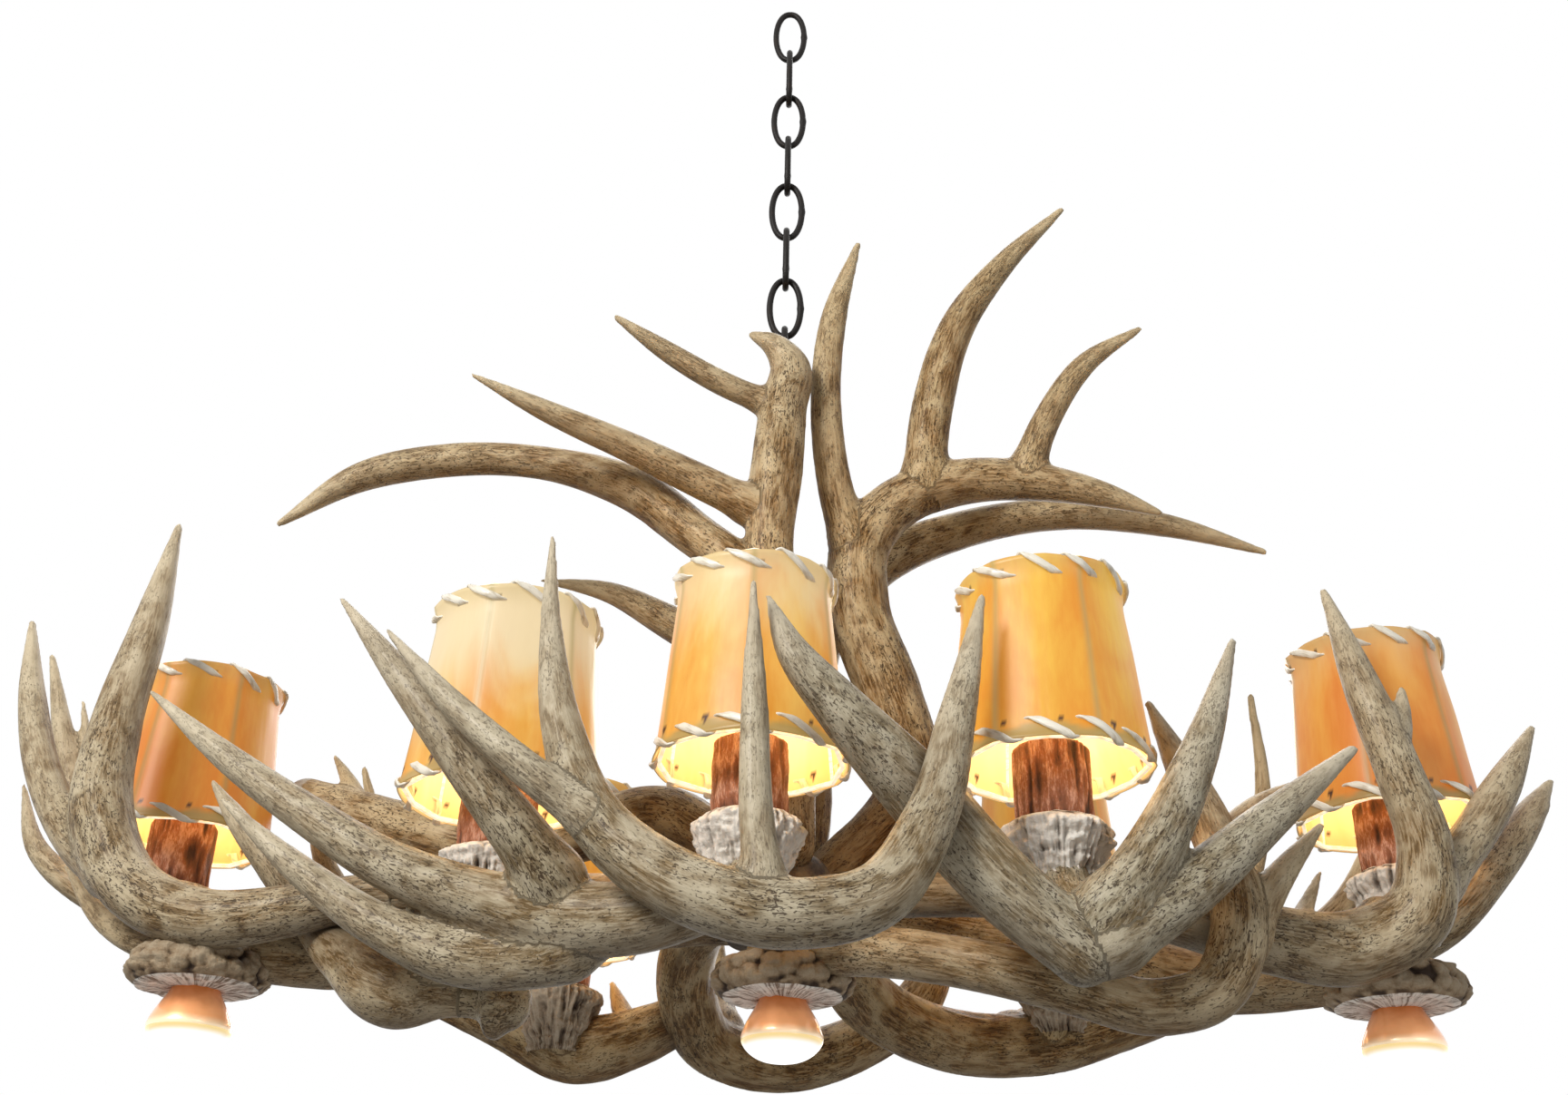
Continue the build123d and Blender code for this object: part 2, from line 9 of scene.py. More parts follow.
import bpy
import numpy as np
from bpy.props import FloatProperty, FloatVectorProperty, IntProperty, PointerProperty
from mathutils import Euler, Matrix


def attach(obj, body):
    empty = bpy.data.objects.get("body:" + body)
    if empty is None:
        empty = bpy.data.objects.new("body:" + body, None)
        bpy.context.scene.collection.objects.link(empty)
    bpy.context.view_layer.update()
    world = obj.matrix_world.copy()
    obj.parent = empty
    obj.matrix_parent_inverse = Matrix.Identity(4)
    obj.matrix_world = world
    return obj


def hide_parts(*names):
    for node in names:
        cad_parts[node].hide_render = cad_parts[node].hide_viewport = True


bl_info = {
    "name": "Antler chandelier",
    "version": (1, 0, 0),
    "blender": (4, 5, 0),
    "location": "View3D > Sidebar > Chandelier",
    "description": "Builds the antlers, laced rawhide shades, lamps and chain of a long antler chandelier",
    "category": "Add Mesh",
}

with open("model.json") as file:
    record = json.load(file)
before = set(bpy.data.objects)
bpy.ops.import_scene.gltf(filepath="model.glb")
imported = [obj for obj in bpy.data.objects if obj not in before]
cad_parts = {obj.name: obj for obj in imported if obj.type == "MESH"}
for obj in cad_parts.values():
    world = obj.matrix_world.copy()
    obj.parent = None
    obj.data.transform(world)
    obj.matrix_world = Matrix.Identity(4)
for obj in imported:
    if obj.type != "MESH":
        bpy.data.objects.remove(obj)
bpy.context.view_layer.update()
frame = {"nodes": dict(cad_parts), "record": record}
MM = 0.001

# ---------------------------------------------------------------- places, in millimetres
# Candle lamps: foot on the burr, turn of the shade, how pale the hide is, and how brightly it is lit.
CANDLES = [
    ("left_end", (-527, 100, -963), 12, 0.0, 0.62),
    ("left_front", (-205, -145, -1005), 20, 0.9, 1.0),
    ("centre_front", (-19, -160, -980), 30, 0.6, 1.0),
    ("right_front", (204, -165, -982), -11, 0.0, 1.0),
    ("right_end", (502, -30, -972), 0, 0.35, 0.6),
    ("left_rear", (-201, 240, -1012), 40, 0.1, 0.8),
    ("right_rear", (266, 240, -988), 8, 0.2, 0.8),
]
DOWNLIGHTS = [
    ("left", (-442, -38, -1082)),
    ("centre", (8, -38, -1082)),
    ("right", (480, -38, -1081)),
]

# Antlers: how tan the antler is (0 grey, 1 tan), then its branches as (x, y, z, radius) points from root to
# tip. The first branch is the beam, and the others leave it.
ANTLERS = {
    "front_centre_antler": (0.1, [
        [(-170, -235, -788, 3), (-162, -250, -875, 9), (-147, -262, -951, 15), (-115, -275, -1024, 20),
         (-55, -285, -1070, 23), (10, -288, -1086, 23), (65, -280, -1072, 22), (102, -268, -1017, 19),
         (125, -255, -936, 14), (148, -240, -835, 4)],
        [(-5, -289, -1078, 14), (-12, -292, -1020, 12), (-15, -287, -945, 10), (-18, -278, -845, 3)],
        [(-108, -276, -1030, 15), (-160, -285, -995, 13), (-218, -280, -945, 10), (-275, -265, -882, 3)],
    ]),
    "right_front_antler": (0.0, [
        [(210, -215, -1089, 24), (150, -228, -1042, 26), (100, -232, -984, 26), (45, -255, -932, 19),
         (12, -264, -895, 13), (-8, -256, -845, 3)],
        [(208, -216, -1082, 23), (250, -225, -1033, 21), (300, -215, -946, 15), (340, -200, -848, 4)],
        [(205, -215, -1093, 23), (275, -213, -1049, 21), (350, -195, -987, 15), (425, -180, -925, 5)],
    ]),
    "left_front_antler": (0.15, [
        [(-38, -250, -1064, 22), (-90, -232, -1074, 25), (-140, -217, -1072, 26), (-205, -213, -1057, 21),
         (-265, -210, -1035, 18), (-325, -205, -1000, 15), (-395, -195, -953, 11), (-465, -185, -898, 3)],
        [(-135, -214, -1066, 22), (-172, -240, -1022, 20), (-215, -250, -972, 16), (-265, -245, -910, 12),
         (-320, -235, -843, 3)],
        [(-115, -212, -1082, 20), (-165, -205, -1097, 20), (-215, -204, -1096, 19), (-265, -200, -1076, 16),
         (-335, -190, -1031, 11), (-398, -182, -980, 3)],
    ]),
    "left_end_antler": (0.3, [
        [(0, -15, -992, 19), (-35, -60, -1005, 18), (-105, -95, -1020, 18), (-225, -112, -1026, 18),
         (-310, -100, -1026, 18), (-365, -92, -1035, 20), (-430, -85, -1040, 23), (-495, -70, -1012, 24),
         (-538, -55, -945, 25), (-548, -40, -865, 21), (-545, -25, -770, 16), (-545, -10, -660, 4)],
        [(-500, -68, -1012, 18), (-555, -45, -970, 17), (-605, -25, -905, 15), (-640, -5, -830, 12),
         (-665, 10, -750, 4)],
    ]),
    "right_end_antler": (0.35, [
        [(15, -15, -998, 19), (90, -80, -1010, 19), (160, -125, -1020, 20), (225, -140, -1026, 21),
         (295, -130, -1036, 23), (365, -115, -1050, 26), (432, -107, -1052, 28), (475, -125, -1030, 25),
         (482, -138, -990, 21), (470, -145, -930, 18), (455, -140, -858, 15), (440, -130, -768, 4)],
        [(462, -145, -912, 15), (480, -141, -882, 9), (486, -138, -858, 4)],
        [(476, -122, -1020, 20), (520, -110, -980, 17), (565, -100, -925, 15), (605, -90, -868, 4)],
        [(385, -112, -1045, 10), (402, -96, -1018, 7), (420, -85, -988, 3)],
    ]),
    "centre_burr_antler": (0.5, [
        [(0, -40, -1046, 23), (55, -76, -1052, 21), (100, -110, -1064, 19), (155, -138, -1080, 19),
         (215, -152, -1097, 20), (268, -156, -1110, 20), (312, -157, -1096, 21), (330, -162, -1058, 21),
         (330, -150, -1008, 19), (320, -120, -940, 16), (300, -85, -850, 4)],
        [(324, -160, -1078, 18), (358, -155, -1025, 13), (405, -145, -972, 4)],
    ]),
    "left_burr_antler": (0.55, [
        [(-455, -36, -1046, 20), (-390, -30, -1052, 24), (-325, -20, -1050, 26), (-240, -10, -1036, 26),
         (-155, 0, -1020, 26), (-70, 5, -1006, 25), (0, 2, -1005, 24)],
        [(-430, -36, -1047, 19), (-488, -22, -1044, 14), (-538, -5, -1020, 10), (-585, 10, -972, 3)],
    ]),
    "right_burr_antler": (0.6, [
        [(488, -36, -1047, 20), (420, -22, -1053, 25), (345, -6, -1054, 26), (250, -5, -1035, 25),
         (165, -4, -1020, 25), (80, -3, -1006, 25), (20, 0, -1000, 24)],
    ]),
    "lower_left_antler": (0.35, [
        [(-198, -130, -1109, 12), (-230, -128, -1106, 14), (-266, -118, -1100, 27), (-318, -88, -1067, 21),
         (-352, -58, -1037, 16), (-393, -58, -991, 13), (-425, -60, -955, 10), (-452, -62, -922, 3)],
        [(-262, -122, -1090, 18), (-227, -133, -1086, 14), (-183, -138, -1077, 10), (-140, -140, -1068, 4)],
        [(-208, -129, -1108, 15), (-203, -129, -1108, 22), (-192, -130, -1109, 22), (-188, -130, -1109, 17)],
    ]),
    "left_outer_antler": (0.45, [
        [(0, 15, -985, 21), (-100, 50, -986, 22), (-225, 76, -990, 23), (-325, 90, -992, 23),
         (-415, 96, -1000, 23), (-500, 102, -1004, 23), (-580, 150, -973, 21), (-645, 190, -905, 18),
         (-688, 200, -818, 14), (-735, 205, -695, 4)],
        [(-640, 188, -905, 13), (-668, 200, -822, 9), (-695, 210, -742, 3)],
        [(-550, 120, -982, 18), (-605, 110, -965, 14), (-660, 113, -925, 10), (-690, 120, -863, 3)],
    ]),
    "right_outer_antler": (0.5, [
        [(25, 15, -976, 21), (150, 60, -972, 22), (270, 76, -980, 23), (375, 66, -1000, 23),
         (430, 46, -1014, 21), (482, 30, -1022, 21), (540, 20, -1002, 21), (600, 25, -950, 19),
         (650, 35, -895, 13), (678, 45, -862, 4)],
        [(615, 29, -935, 12), (645, 30, -908, 8), (667, 35, -888, 3)],
        [(325, 72, -992, 15), (380, 95, -925, 15), (435, 110, -868, 11), (480, 120, -838, 3)],
    ]),
    "rear_centre_antler": (0.75, [
        [(0, 15, -996, 21), (-42, 60, -986, 23), (-70, 120, -992, 25), (-78, 190, -1026, 27),
         (-60, 240, -1057, 27), (10, 280, -1067, 28), (85, 295, -1043, 26), (140, 292, -1005, 23),
         (165, 290, -935, 16), (172, 285, -820, 4)],
        [(-45, 258, -1062, 22), (-58, 308, -1000, 19), (-70, 320, -910, 14), (-80, 315, -813, 4)],
    ]),
    "rear_right_antler": (0.8, [
        [(25, 22, -1002, 24), (55, 110, -1014, 27), (95, 190, -1036, 28), (165, 242, -1052, 29),
         (255, 258, -1050, 28), (350, 250, -1024, 24), (450, 236, -988, 20), (540, 220, -925, 13),
         (585, 210, -840, 4)],
        [(210, 252, -1054, 23), (265, 320, -1010, 20), (305, 348, -910, 14), (322, 355, -793, 4)],
        [(400, 245, -1008, 18), (455, 260, -915, 14), (492, 264, -800, 9), (490, 255, -693, 4)],
    ]),
    "rear_left_antler": (0.8, [
        [(-82, 222, -1040, 22), (-130, 245, -1055, 27), (-180, 262, -1062, 32), (-245, 256, -1040, 27),
         (-345, 240, -996, 22), (-410, 226, -938, 16), (-455, 215, -853, 4)],
        [(-205, 258, -1055, 22), (-310, 285, -992, 18), (-390, 300, -880, 13), (-430, 302, -773, 4)],
        [(-128, 262, -1052, 13), (-146, 288, -1018, 10), (-158, 304, -990, 4)],
    ]),
    "upper_left_antler": (0.6, [
        [(10, -40, -962, 23), (5, -42, -855, 26), (-5, -46, -775, 25), (-10, -50, -690, 22),
         (-5, -52, -615, 24), (0, -52, -550, 22), (5, -55, -505, 19), (-10, -60, -485, 12),
         (-30, -60, -474, 5)],
        [(-5, -50, -548, 12), (-60, -65, -530, 12), (-110, -75, -503, 10), (-155, -90, -478, 4)],
        [(-10, -50, -662, 17), (-75, -65, -635, 16), (-135, -85, -615, 14), (-210, -110, -593, 10),
         (-270, -130, -572, 3)],
        [(0, -48, -735, 19), (-70, -38, -680, 20), (-135, -30, -625, 21), (-215, -25, -597, 16),
         (-305, -20, -592, 16), (-385, -20, -612, 14), (-450, -25, -665, 4)],
    ]),
    "upper_right_antler": (0.75, [
        [(35, 10, -985, 25), (115, 28, -885, 30), (98, 22, -800, 29), (72, 15, -720, 28), (75, 10, -655, 27),
         (110, 8, -612, 24), (170, 2, -592, 22), (240, -5, -596, 18), (300, -10, -612, 12),
         (345, -15, -632, 4)],
        [(72, 12, -680, 20), (50, -8, -610, 17), (40, -25, -530, 15), (47, -35, -435, 13),
         (70, -45, -352, 4)],
        [(132, 5, -612, 20), (140, -10, -525, 20), (170, -28, -428, 17), (212, -40, -370, 12),
         (270, -55, -313, 4)],
        [(222, -2, -600, 17), (245, -20, -540, 14), (285, -35, -482, 11), (335, -50, -452, 4)],
    ]),
    "upper_rear_antler": (0.7, [
        [(18, 28, -975, 21), (25, 60, -900, 24), (25, 75, -825, 25), (38, 80, -715, 25), (90, 82, -642, 23),
         (175, 86, -597, 19), (285, 95, -572, 16), (385, 105, -578, 12), (480, 115, -600, 4)],
        [(25, 80, -795, 21), (-45, 85, -738, 21), (-105, 95, -698, 17), (-165, 110, -660, 11),
         (-235, 125, -640, 3)],
    ]),
    "inner_left_antler": (0.7, [
        [(-440, 150, -862, 21), (-380, 140, -882, 24), (-315, 120, -904, 25), (-235, 98, -924, 24),
         (-160, 72, -912, 26), (-100, 50, -905, 26), (-30, 22, -950, 22)],
        [(-378, 142, -885, 13), (-402, 150, -842, 8), (-420, 156, -816, 3)],
    ]),
}

# Stalks that carry the candles: the antler, and the point of its beam where the stalk starts.
STALKS = {
    "left_end": ("left_outer_antler", (-500, 102, -1004, 23)),
    "left_front": ("left_front_antler", (-155, -212, -1068, 22)),
    "centre_front": ("front_centre_antler", (5, -275, -1078, 18)),
    "right_front": ("right_front_antler", (210, -215, -1078, 22)),
    "right_end": ("right_end_antler", (452, -100, -1034, 22)),
    "left_rear": ("rear_left_antler", (-182, 262, -1062, 31)),
    "right_rear": ("rear_right_antler", (255, 256, -1048, 27)),
}

TIP_RADIUS = 8  # a branch whose end point is thinner than this runs out in a tip

# Chain and stem: heights are measured from where the top link hangs on its hook.
LINK_COUNT = 8
LINK_PITCH = 61.15
FIRST_LINK = -31.0
WIRE_RADIUS = 3.2
LOOP_CENTRE = -499.9
PIPE_RADIUS = 6.3
PIPE_ENDS = (-1038.0, -528.3)

SLEEVE_HEIGHT = 58
BULB_SEAT = 54.3  # height of the bulb's collar over the foot of its candle
SHADE_RIM = 41  # height of a shade's lower rim over the foot of its candle
SHADE_HEIGHT = 150
LENS_RADIUS = 31.3

# Profiles that are turned round an upright line, as (radius, height) points.
COLLAR = [(0.1, -528.3), (9.5, -528.3), (10.7, -526.8), (10.7, -515.3), (8.5, -512.3), (0.1, -512.3)]
HUB = [(7.0, -1027.8), (38.0, -1027.8), (41.4, -1024.5), (41.4, -965.5), (38.0, -962.2), (7.0, -962.2)]
BULB_GLASS = [(0.1, 78.0), (4.5, 75.5), (9.0, 66.0), (13.6, 54.0), (16.8, 40.0), (16.8, 28.0), (14.0, 16.0),
              (10.5, 8.0), (7.2, 1.5), (6.2, 0.4)]
BULB_FOOT = [(6.2, 0.4), (5.7, -3.0), (5.5, -8.0), (5.4, -13.0), (2.0, -14.5), (0.1, -14.6)]
LAMP_SHOULDER = [(LENS_RADIUS, -31.0), (31.7, -29.0), (31.0, -26.0), (28.4, -19.5), (25.0, -13.0),
                 (21.5, -7.0), (18.6, -1.5), (17.4, 2.0), (13.6, 6.0), (12.6, 10.0), (12.6, 20.0)]
LAMP_LENS = [(0.1, -47.2), (9.0, -46.7), (18.0, -44.4), (25.0, -40.2), (29.5, -35.2), (31.2, -31.8),
             (LENS_RADIUS, -31.0)]

# Burrs: the profile as (radius, depth behind the cut face), where the face looks (1 up, -1 down), the knobs
# in a row round it, the width of a row, how far the knobs swell, the share of ridges among them, the depth
# at which the knobs start and how sharply, and the depth and the radius within which the face is cut.
CANDLE_BURR = dict(
    profile=[(19.0, 58.0), (23.5, 46.0), (28.0, 34.0), (33.5, 22.0), (37.0, 12.0), (37.6, 6.0), (35.0, 1.6),
             (31.0, 0.4), (26.0, 0.3), (14.2, 0.3)],
    looks=1, columns=15, row=15.0, swell=10.0, frilled=0.72, start=3, sharp=1.1, face=(1.0, 33),
)
LAMP_BURR = dict(
    profile=[(24.0, 33.0), (36.0, 30.5), (46.0, 27.0), (51.0, 20.5), (52.5, 13.0), (50.5, 6.0), (46.5, 1.6),
             (42.0, 0.4), (34.0, 0.4), (17.6, 0.4), (17.6, 3.0)],
    looks=-1, columns=23, row=12.0, swell=8.0, frilled=0.25, start=4, sharp=0.8, face=(1.4, 47),
)

# ---------------------------------------------------------------- stage, in metres
FLOOR = [(-9, -9, -3.2), (9, -9, -3.2), (9, 9, -3.2), (-9, 9, -3.2)]
LAMPS_AIM = (0.0, 0.0, -0.9)
# Lamps of the studio: name, place, size, power in watts and tint.
STUDIO = [
    ("key", (-1.5, -2.2, 0.3), 1.0, 78, (1.0, 0.98, 0.94)),
    ("fill", (1.9, -2.3, -0.5), 1.6, 12, (0.95, 0.98, 1.0)),
    ("back", (0.5, 2.7, 0.0), 2.0, 34, (1.0, 0.99, 0.97)),
    ("below", (0.0, -1.6, -2.6), 2.2, 3, (1.0, 0.94, 0.88)),
    ("top", (0.3, 1.6, 1.6), 2.0, 34, (1.0, 0.99, 0.97)),
]
CAMERA_PLACE = (0.003, -1.305, -1.375)
CAMERA_RISE = 28.5  # degrees that it looks up
CAMERA_ROLL = 1.0
CAMERA_LENS = 37.5  # millimetres before a sensor 36 mm wide


# ---------------------------------------------------------------- sizes and colours that a user may change
class ChandelierSizes(bpy.types.PropertyGroup):
    """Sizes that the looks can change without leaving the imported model."""

    voxel: FloatProperty(
        name="Antler fineness", description="Size of the cells that fuse an antler's branches",
        default=0.0026, min=0.0015, max=0.006, unit="LENGTH",
    )
    furrow: FloatProperty(
        name="Furrow depth", description="Depth of the furrows along the beams",
        default=0.0016, min=0.0, max=0.004, unit="LENGTH",
    )
    stitches: IntProperty(
        name="Stitches", description="Turns of the lacing round each rim of a shade",
        default=11, min=6, max=20,
    )
    lace_width: FloatProperty(
        name="Lace width", description="Width of the rawhide lace",
        default=0.0062, min=0.003, max=0.01, unit="LENGTH",
    )
    hide_thickness: FloatProperty(
        name="Hide thickness", description="Thickness of the shades' hide",
        default=0.0014, min=0.0008, max=0.003, unit="LENGTH",
    )


class ChandelierColours(bpy.types.PropertyGroup):
    """Colours of the finishes."""

    grey_antler: FloatVectorProperty(
        name="Grey antler", description="Body colour of the front antlers",
        default=(0.27, 0.230, 0.146), subtype="COLOR", min=0, max=1,
    )
    tan_antler: FloatVectorProperty(
        name="Tan antler", description="Body colour of the rear and upper antlers",
        default=(0.38, 0.225, 0.076), subtype="COLOR", min=0, max=1,
    )
    ivory: FloatVectorProperty(
        name="Ivory", description="Worn ridges and tips",
        default=(0.66, 0.58, 0.44), subtype="COLOR", min=0, max=1,
    )
    # This colour also paints shade on the antlers' undersides and where they come close to each other.
    stain_and_shade: FloatVectorProperty(
        name="Stain", description="Brown stain in the furrows and pits",
        default=(0.045, 0.024, 0.012), subtype="COLOR", min=0, max=1,
    )
    hide: FloatVectorProperty(
        name="Hide", description="Lit rawhide",
        default=(0.76, 0.39, 0.045), subtype="COLOR", min=0, max=1,
    )
    lace: FloatVectorProperty(
        name="Lace", description="Rawhide lace",
        default=(0.84, 0.79, 0.68), subtype="COLOR", min=0, max=1,
    )
    bark: FloatVectorProperty(
        name="Bark", description="Bark of the candle sleeves",
        default=(0.30, 0.105, 0.048), subtype="COLOR", min=0, max=1,
    )
    bronze: FloatVectorProperty(
        name="Bronze", description="Dark bronze of the chain and stem",
        default=(0.009, 0.007, 0.006), subtype="COLOR", min=0, max=1,
    )
    copper: FloatVectorProperty(
        name="Copper", description="Shoulder of the reflector lamps",
        default=(0.80, 0.36, 0.15), subtype="COLOR", min=0, max=1,
    )


# ---------------------------------------------------------------- noise and curves
def stacked(*parts):
    """Arrays whose shapes fit each other, stretched to one shape and set side by side as points."""
    return np.stack(np.broadcast_arrays(*parts), -1)


def run_along(line):
    """Length along a line from its start to each of its points."""
    return np.concatenate([[0], np.cumsum(np.linalg.norm(np.diff(line, axis=0), axis=1))])


def lattice_noise(points, seed):
    """Smooth noise from 0 to 1 at each row of points: random values on whole numbers, blended by a cubic."""
    cell = np.floor(points).astype(np.int64)
    t = points - cell
    t = t * t * (3 - 2 * t)
    total = np.zeros(len(points))
    for corner in range(8):
        bits = np.array([corner & 1, corner >> 1 & 1, corner >> 2 & 1])
        c = cell + bits
        code = (c[:, 0] * 73856093) ^ (c[:, 1] * 19349663) ^ (c[:, 2] * 83492791) ^ (seed * 2654435761)
        code = (code ^ (code >> 13)) * 1274126177
        value = ((code ^ (code >> 16)) & 0xFFFF) / 65535.0
        total += value * np.prod(np.where(bits, t, 1 - t), axis=1)
    return total


def ridged_noise(points, seed):
    """Noise folded into ridges: 1 - |2 noise - 1|."""
    return 1 - np.abs(2 * lattice_noise(points, seed) - 1)


def pearls(u, v, columns, seed):
    """Rounded knobs over cells of size 1 that close after a number of columns.

    Each cell holds one centre, moved by chance. With d the distance to the nearest one, the height is
    sqrt(1 - d^2 / 0.52), and 0 further out.
    """
    nearest = np.full(np.broadcast(u, v).shape, 9.0)
    for across in (-1, 0, 1):
        for up in (-1, 0, 1):
            column, row = np.floor(u) + across, np.floor(v) + up
            cell = stacked(column % columns, row, 0).reshape(-1, 3)
            jump_u = lattice_noise(cell, seed).reshape(nearest.shape) * 0.7 + 0.15
            jump_v = lattice_noise(cell, seed + 7).reshape(nearest.shape) * 0.7 + 0.15
            nearest = np.minimum(nearest, (column + jump_u - u) ** 2 + (row + jump_v - v) ** 2)
    return np.sqrt(np.clip(1 - nearest / 0.52, 0, 1))


def flowing(points, step):
    """Rows of points carried into a smooth curve through them, a sample about every step.

    Each stretch is a cubic whose slope at a point is the mean of the runs on both sides, weighted by the
    other run's length, so that short runs do not overshoot.
    """
    p = np.asarray(points, float)
    run = np.linalg.norm(np.diff(p[:, :3], axis=0), axis=1)
    slope = np.diff(p, axis=0) / run[:, None]
    tangent = np.empty_like(p)
    tangent[0], tangent[-1] = slope[0], slope[-1]
    before, after = run[:-1, None], run[1:, None]
    tangent[1:-1] = (slope[:-1] * after + slope[1:] * before) / (before + after)
    parts = []
    for i, length in enumerate(run):
        t = np.linspace(0, 1, max(2, int(round(length / step))), endpoint=False)[:, None]
        parts.append(
            (2 * t**3 - 3 * t**2 + 1) * p[i] + (t**3 - 2 * t**2 + t) * tangent[i] * length
            + (3 * t**2 - 2 * t**3) * p[i + 1] + (t**3 - t**2) * tangent[i + 1] * length
        )
    parts.append(p[-1:])
    return np.concatenate(parts)


def frames_along(line):
    """Tangent and two cross directions at each point of a line, carried on from point to point untwisted."""
    tangent = np.gradient(line, axis=0)
    tangent /= np.linalg.norm(tangent, axis=1)[:, None]
    side = np.empty_like(line)
    last = np.array((0.31, 0.42, 0.85))  # no branch starts along this
    for i, t in enumerate(tangent):
        last = last - t * last.dot(t)
        last /= np.linalg.norm(last)
        side[i] = last
    return tangent, side, np.cross(tangent, side)


# ---------------------------------------------------------------- meshes
def grid_faces(rows, columns, close_columns=True, close_rows=False):
    """Quads of a grid of points, row after row."""
    r = np.arange(rows if close_rows else rows - 1)
    c = np.arange(columns if close_columns else columns - 1)
    r, c = np.meshgrid(r, c, indexing="ij")
    r2, c2 = (r + 1) % rows, (c + 1) % columns
    quads = np.stack([r * columns + c, r * columns + c2, r2 * columns + c2, r2 * columns + c], axis=-1)
    return quads.reshape(-1, 4)


class Shape:
    """Points and quads gathered for one piece, with a value per point for each named attribute."""

    def __init__(self):
        self.points, self.quads, self.marks, self.count = [], [], {}, 0

    def add(self, points, quads, **marks):
        """Adds a surface. A mark has one row per point, and every surface of a shape has the same marks."""
        points = np.asarray(points, float).reshape(-1, 3)
        self.points.append(points)
        self.quads.append(quads + self.count)
        self.count += len(points)
        for name, rows in marks.items():
            self.marks.setdefault(name, []).append(rows)

    def turn(self, profile, centre, sides=64, **marks):
        """Adds a profile carried round an upright line: (r cos a, r sin a, z) + centre, in millimetres.

        A mark is one number per point of the profile.
        """
        a = np.linspace(0, 2 * math.pi, sides, endpoint=False)
        r, z = profile[:, :1], profile[:, 1:]
        points = stacked(r * np.cos(a), r * np.sin(a), z) + np.asarray(centre, float)
        marks = {name: np.repeat(value, sides) for name, value in marks.items()}
        self.add(points * MM, grid_faces(len(profile), sides), **marks)
        return self

    def piece(self, name, body, slot, material, replaces=()):
        """Makes the object in the scene, riding on its body."""
        obj = mesh_object(name, np.concatenate(self.points), np.concatenate(self.quads), material)
        for mark, rows in self.marks.items():
            set_mark(obj.data, mark, np.concatenate(rows))
        settle(obj, body, replaces)


def linked(name, data):
    """A new object in the scene that holds a mesh, a lamp or a camera."""
    obj = bpy.data.objects.new(name, data)
    bpy.context.scene.collection.objects.link(obj)
    return obj


def mesh_object(name, points, faces, material=None, smooth=True):
    """An object from whole arrays of points and faces of equal size."""
    mesh = bpy.data.meshes.new(name)
    sides = faces.shape[1]
    mesh.vertices.add(len(points))
    mesh.vertices.foreach_set("co", np.ascontiguousarray(points, np.float32).ravel())
    mesh.loops.add(faces.size)
    mesh.loops.foreach_set("vertex_index", np.ascontiguousarray(faces, np.int32).ravel())
    mesh.polygons.add(len(faces))
    mesh.polygons.foreach_set("loop_start", np.arange(0, faces.size, sides, dtype=np.int32))
    mesh.polygons.foreach_set("use_smooth", np.full(len(faces), smooth))
    mesh.update(calc_edges=True)
    mesh.validate()
    if material:
        mesh.materials.append(material)
    return linked(name, mesh)


def set_mark(mesh, name, values):
    """Stores one number or one vector per point."""
    wide = values.ndim == 2
    mark = mesh.attributes.new(name, "FLOAT_VECTOR" if wide else "FLOAT", "POINT")
    mark.data.foreach_set("vector" if wide else "value", np.ascontiguousarray(values, np.float32).ravel())


def settle(obj, body, replaces):
    """Ties a finished piece to its body and the nodes that it stands for."""
    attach(obj, body)
    if replaces:
        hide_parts(*replaces)


def rings_round(line, side, other, sides, radii=1.0):
    """Rings round a line: centre + r (cos(a) side + sin(a) other), one row for each of its points."""
    a = np.linspace(0, 2 * math.pi, sides, endpoint=False)[None, :, None]
    ring = np.cos(a) * side[:, None] + np.sin(a) * other[:, None]
    return line[:, None] + ring * np.broadcast_to(radii, len(line))[:, None, None]


def round_ends(line, radii, start_share):
    """Adds rings that close both ends of a tube, each a quarter round.

    It is as deep as the radius times start_share at the start, and times 0.9 at the end.
    """
    a = np.linspace(0, math.pi / 2, 6)[1:]
    start_dir = (line[0] - line[1]) / np.linalg.norm(line[0] - line[1])
    end_dir = (line[-1] - line[-2]) / np.linalg.norm(line[-1] - line[-2])
    cap_r = np.maximum(np.cos(a), 1e-3)
    start = line[0] + start_dir * (np.sin(a) * radii[0] * start_share)[::-1, None]
    end = line[-1] + end_dir * (np.sin(a) * radii[-1] * 0.9)[:, None]
    return (
        np.concatenate([start, line, end]),
        np.concatenate([(cap_r * radii[0])[::-1], radii, cap_r * radii[-1]]),
    )


def softened(profile, step):
    """A (radius, height) profile as a smooth curve through its points, a sample about every step."""
    p = np.array([(r, 0, z, 0) for r, z in profile], float)
    smooth = flowing(p, step)[:, [0, 2]]
    smooth[:, 0] = np.maximum(smooth[:, 0], 0.01)
    return smooth


# ---------------------------------------------------------------- shader sums
class Value:
    """A node's output that can be added, subtracted and multiplied like a number."""

    def __init__(self, tree, socket):
        self.tree, self.socket = tree, socket

    def sum_node(self, operation, other):
        """A Math node on this and another value."""
        return add_node(self.tree, "Math", 0, {"operation": operation}, {0: self, 1: other})

    def __add__(self, other):
        return self.sum_node("ADD", other)

    def __sub__(self, other):
        return self.sum_node("SUBTRACT", other)

    def __mul__(self, other):
        return self.sum_node("MULTIPLY", other)

    def __radd__(self, other):
        return self + other

    def __rmul__(self, other):
        return self * other

    def __rsub__(self, other):
        return self * -1.0 + other

    def step(self, low, high):
        """0 below low, 1 above high, and smooth between them."""
        return add_node(
            self.tree, "MapRange", "Result", {"interpolation_type": "SMOOTHSTEP"},
            {"Value": self, "From Min": low, "From Max": high},
        )


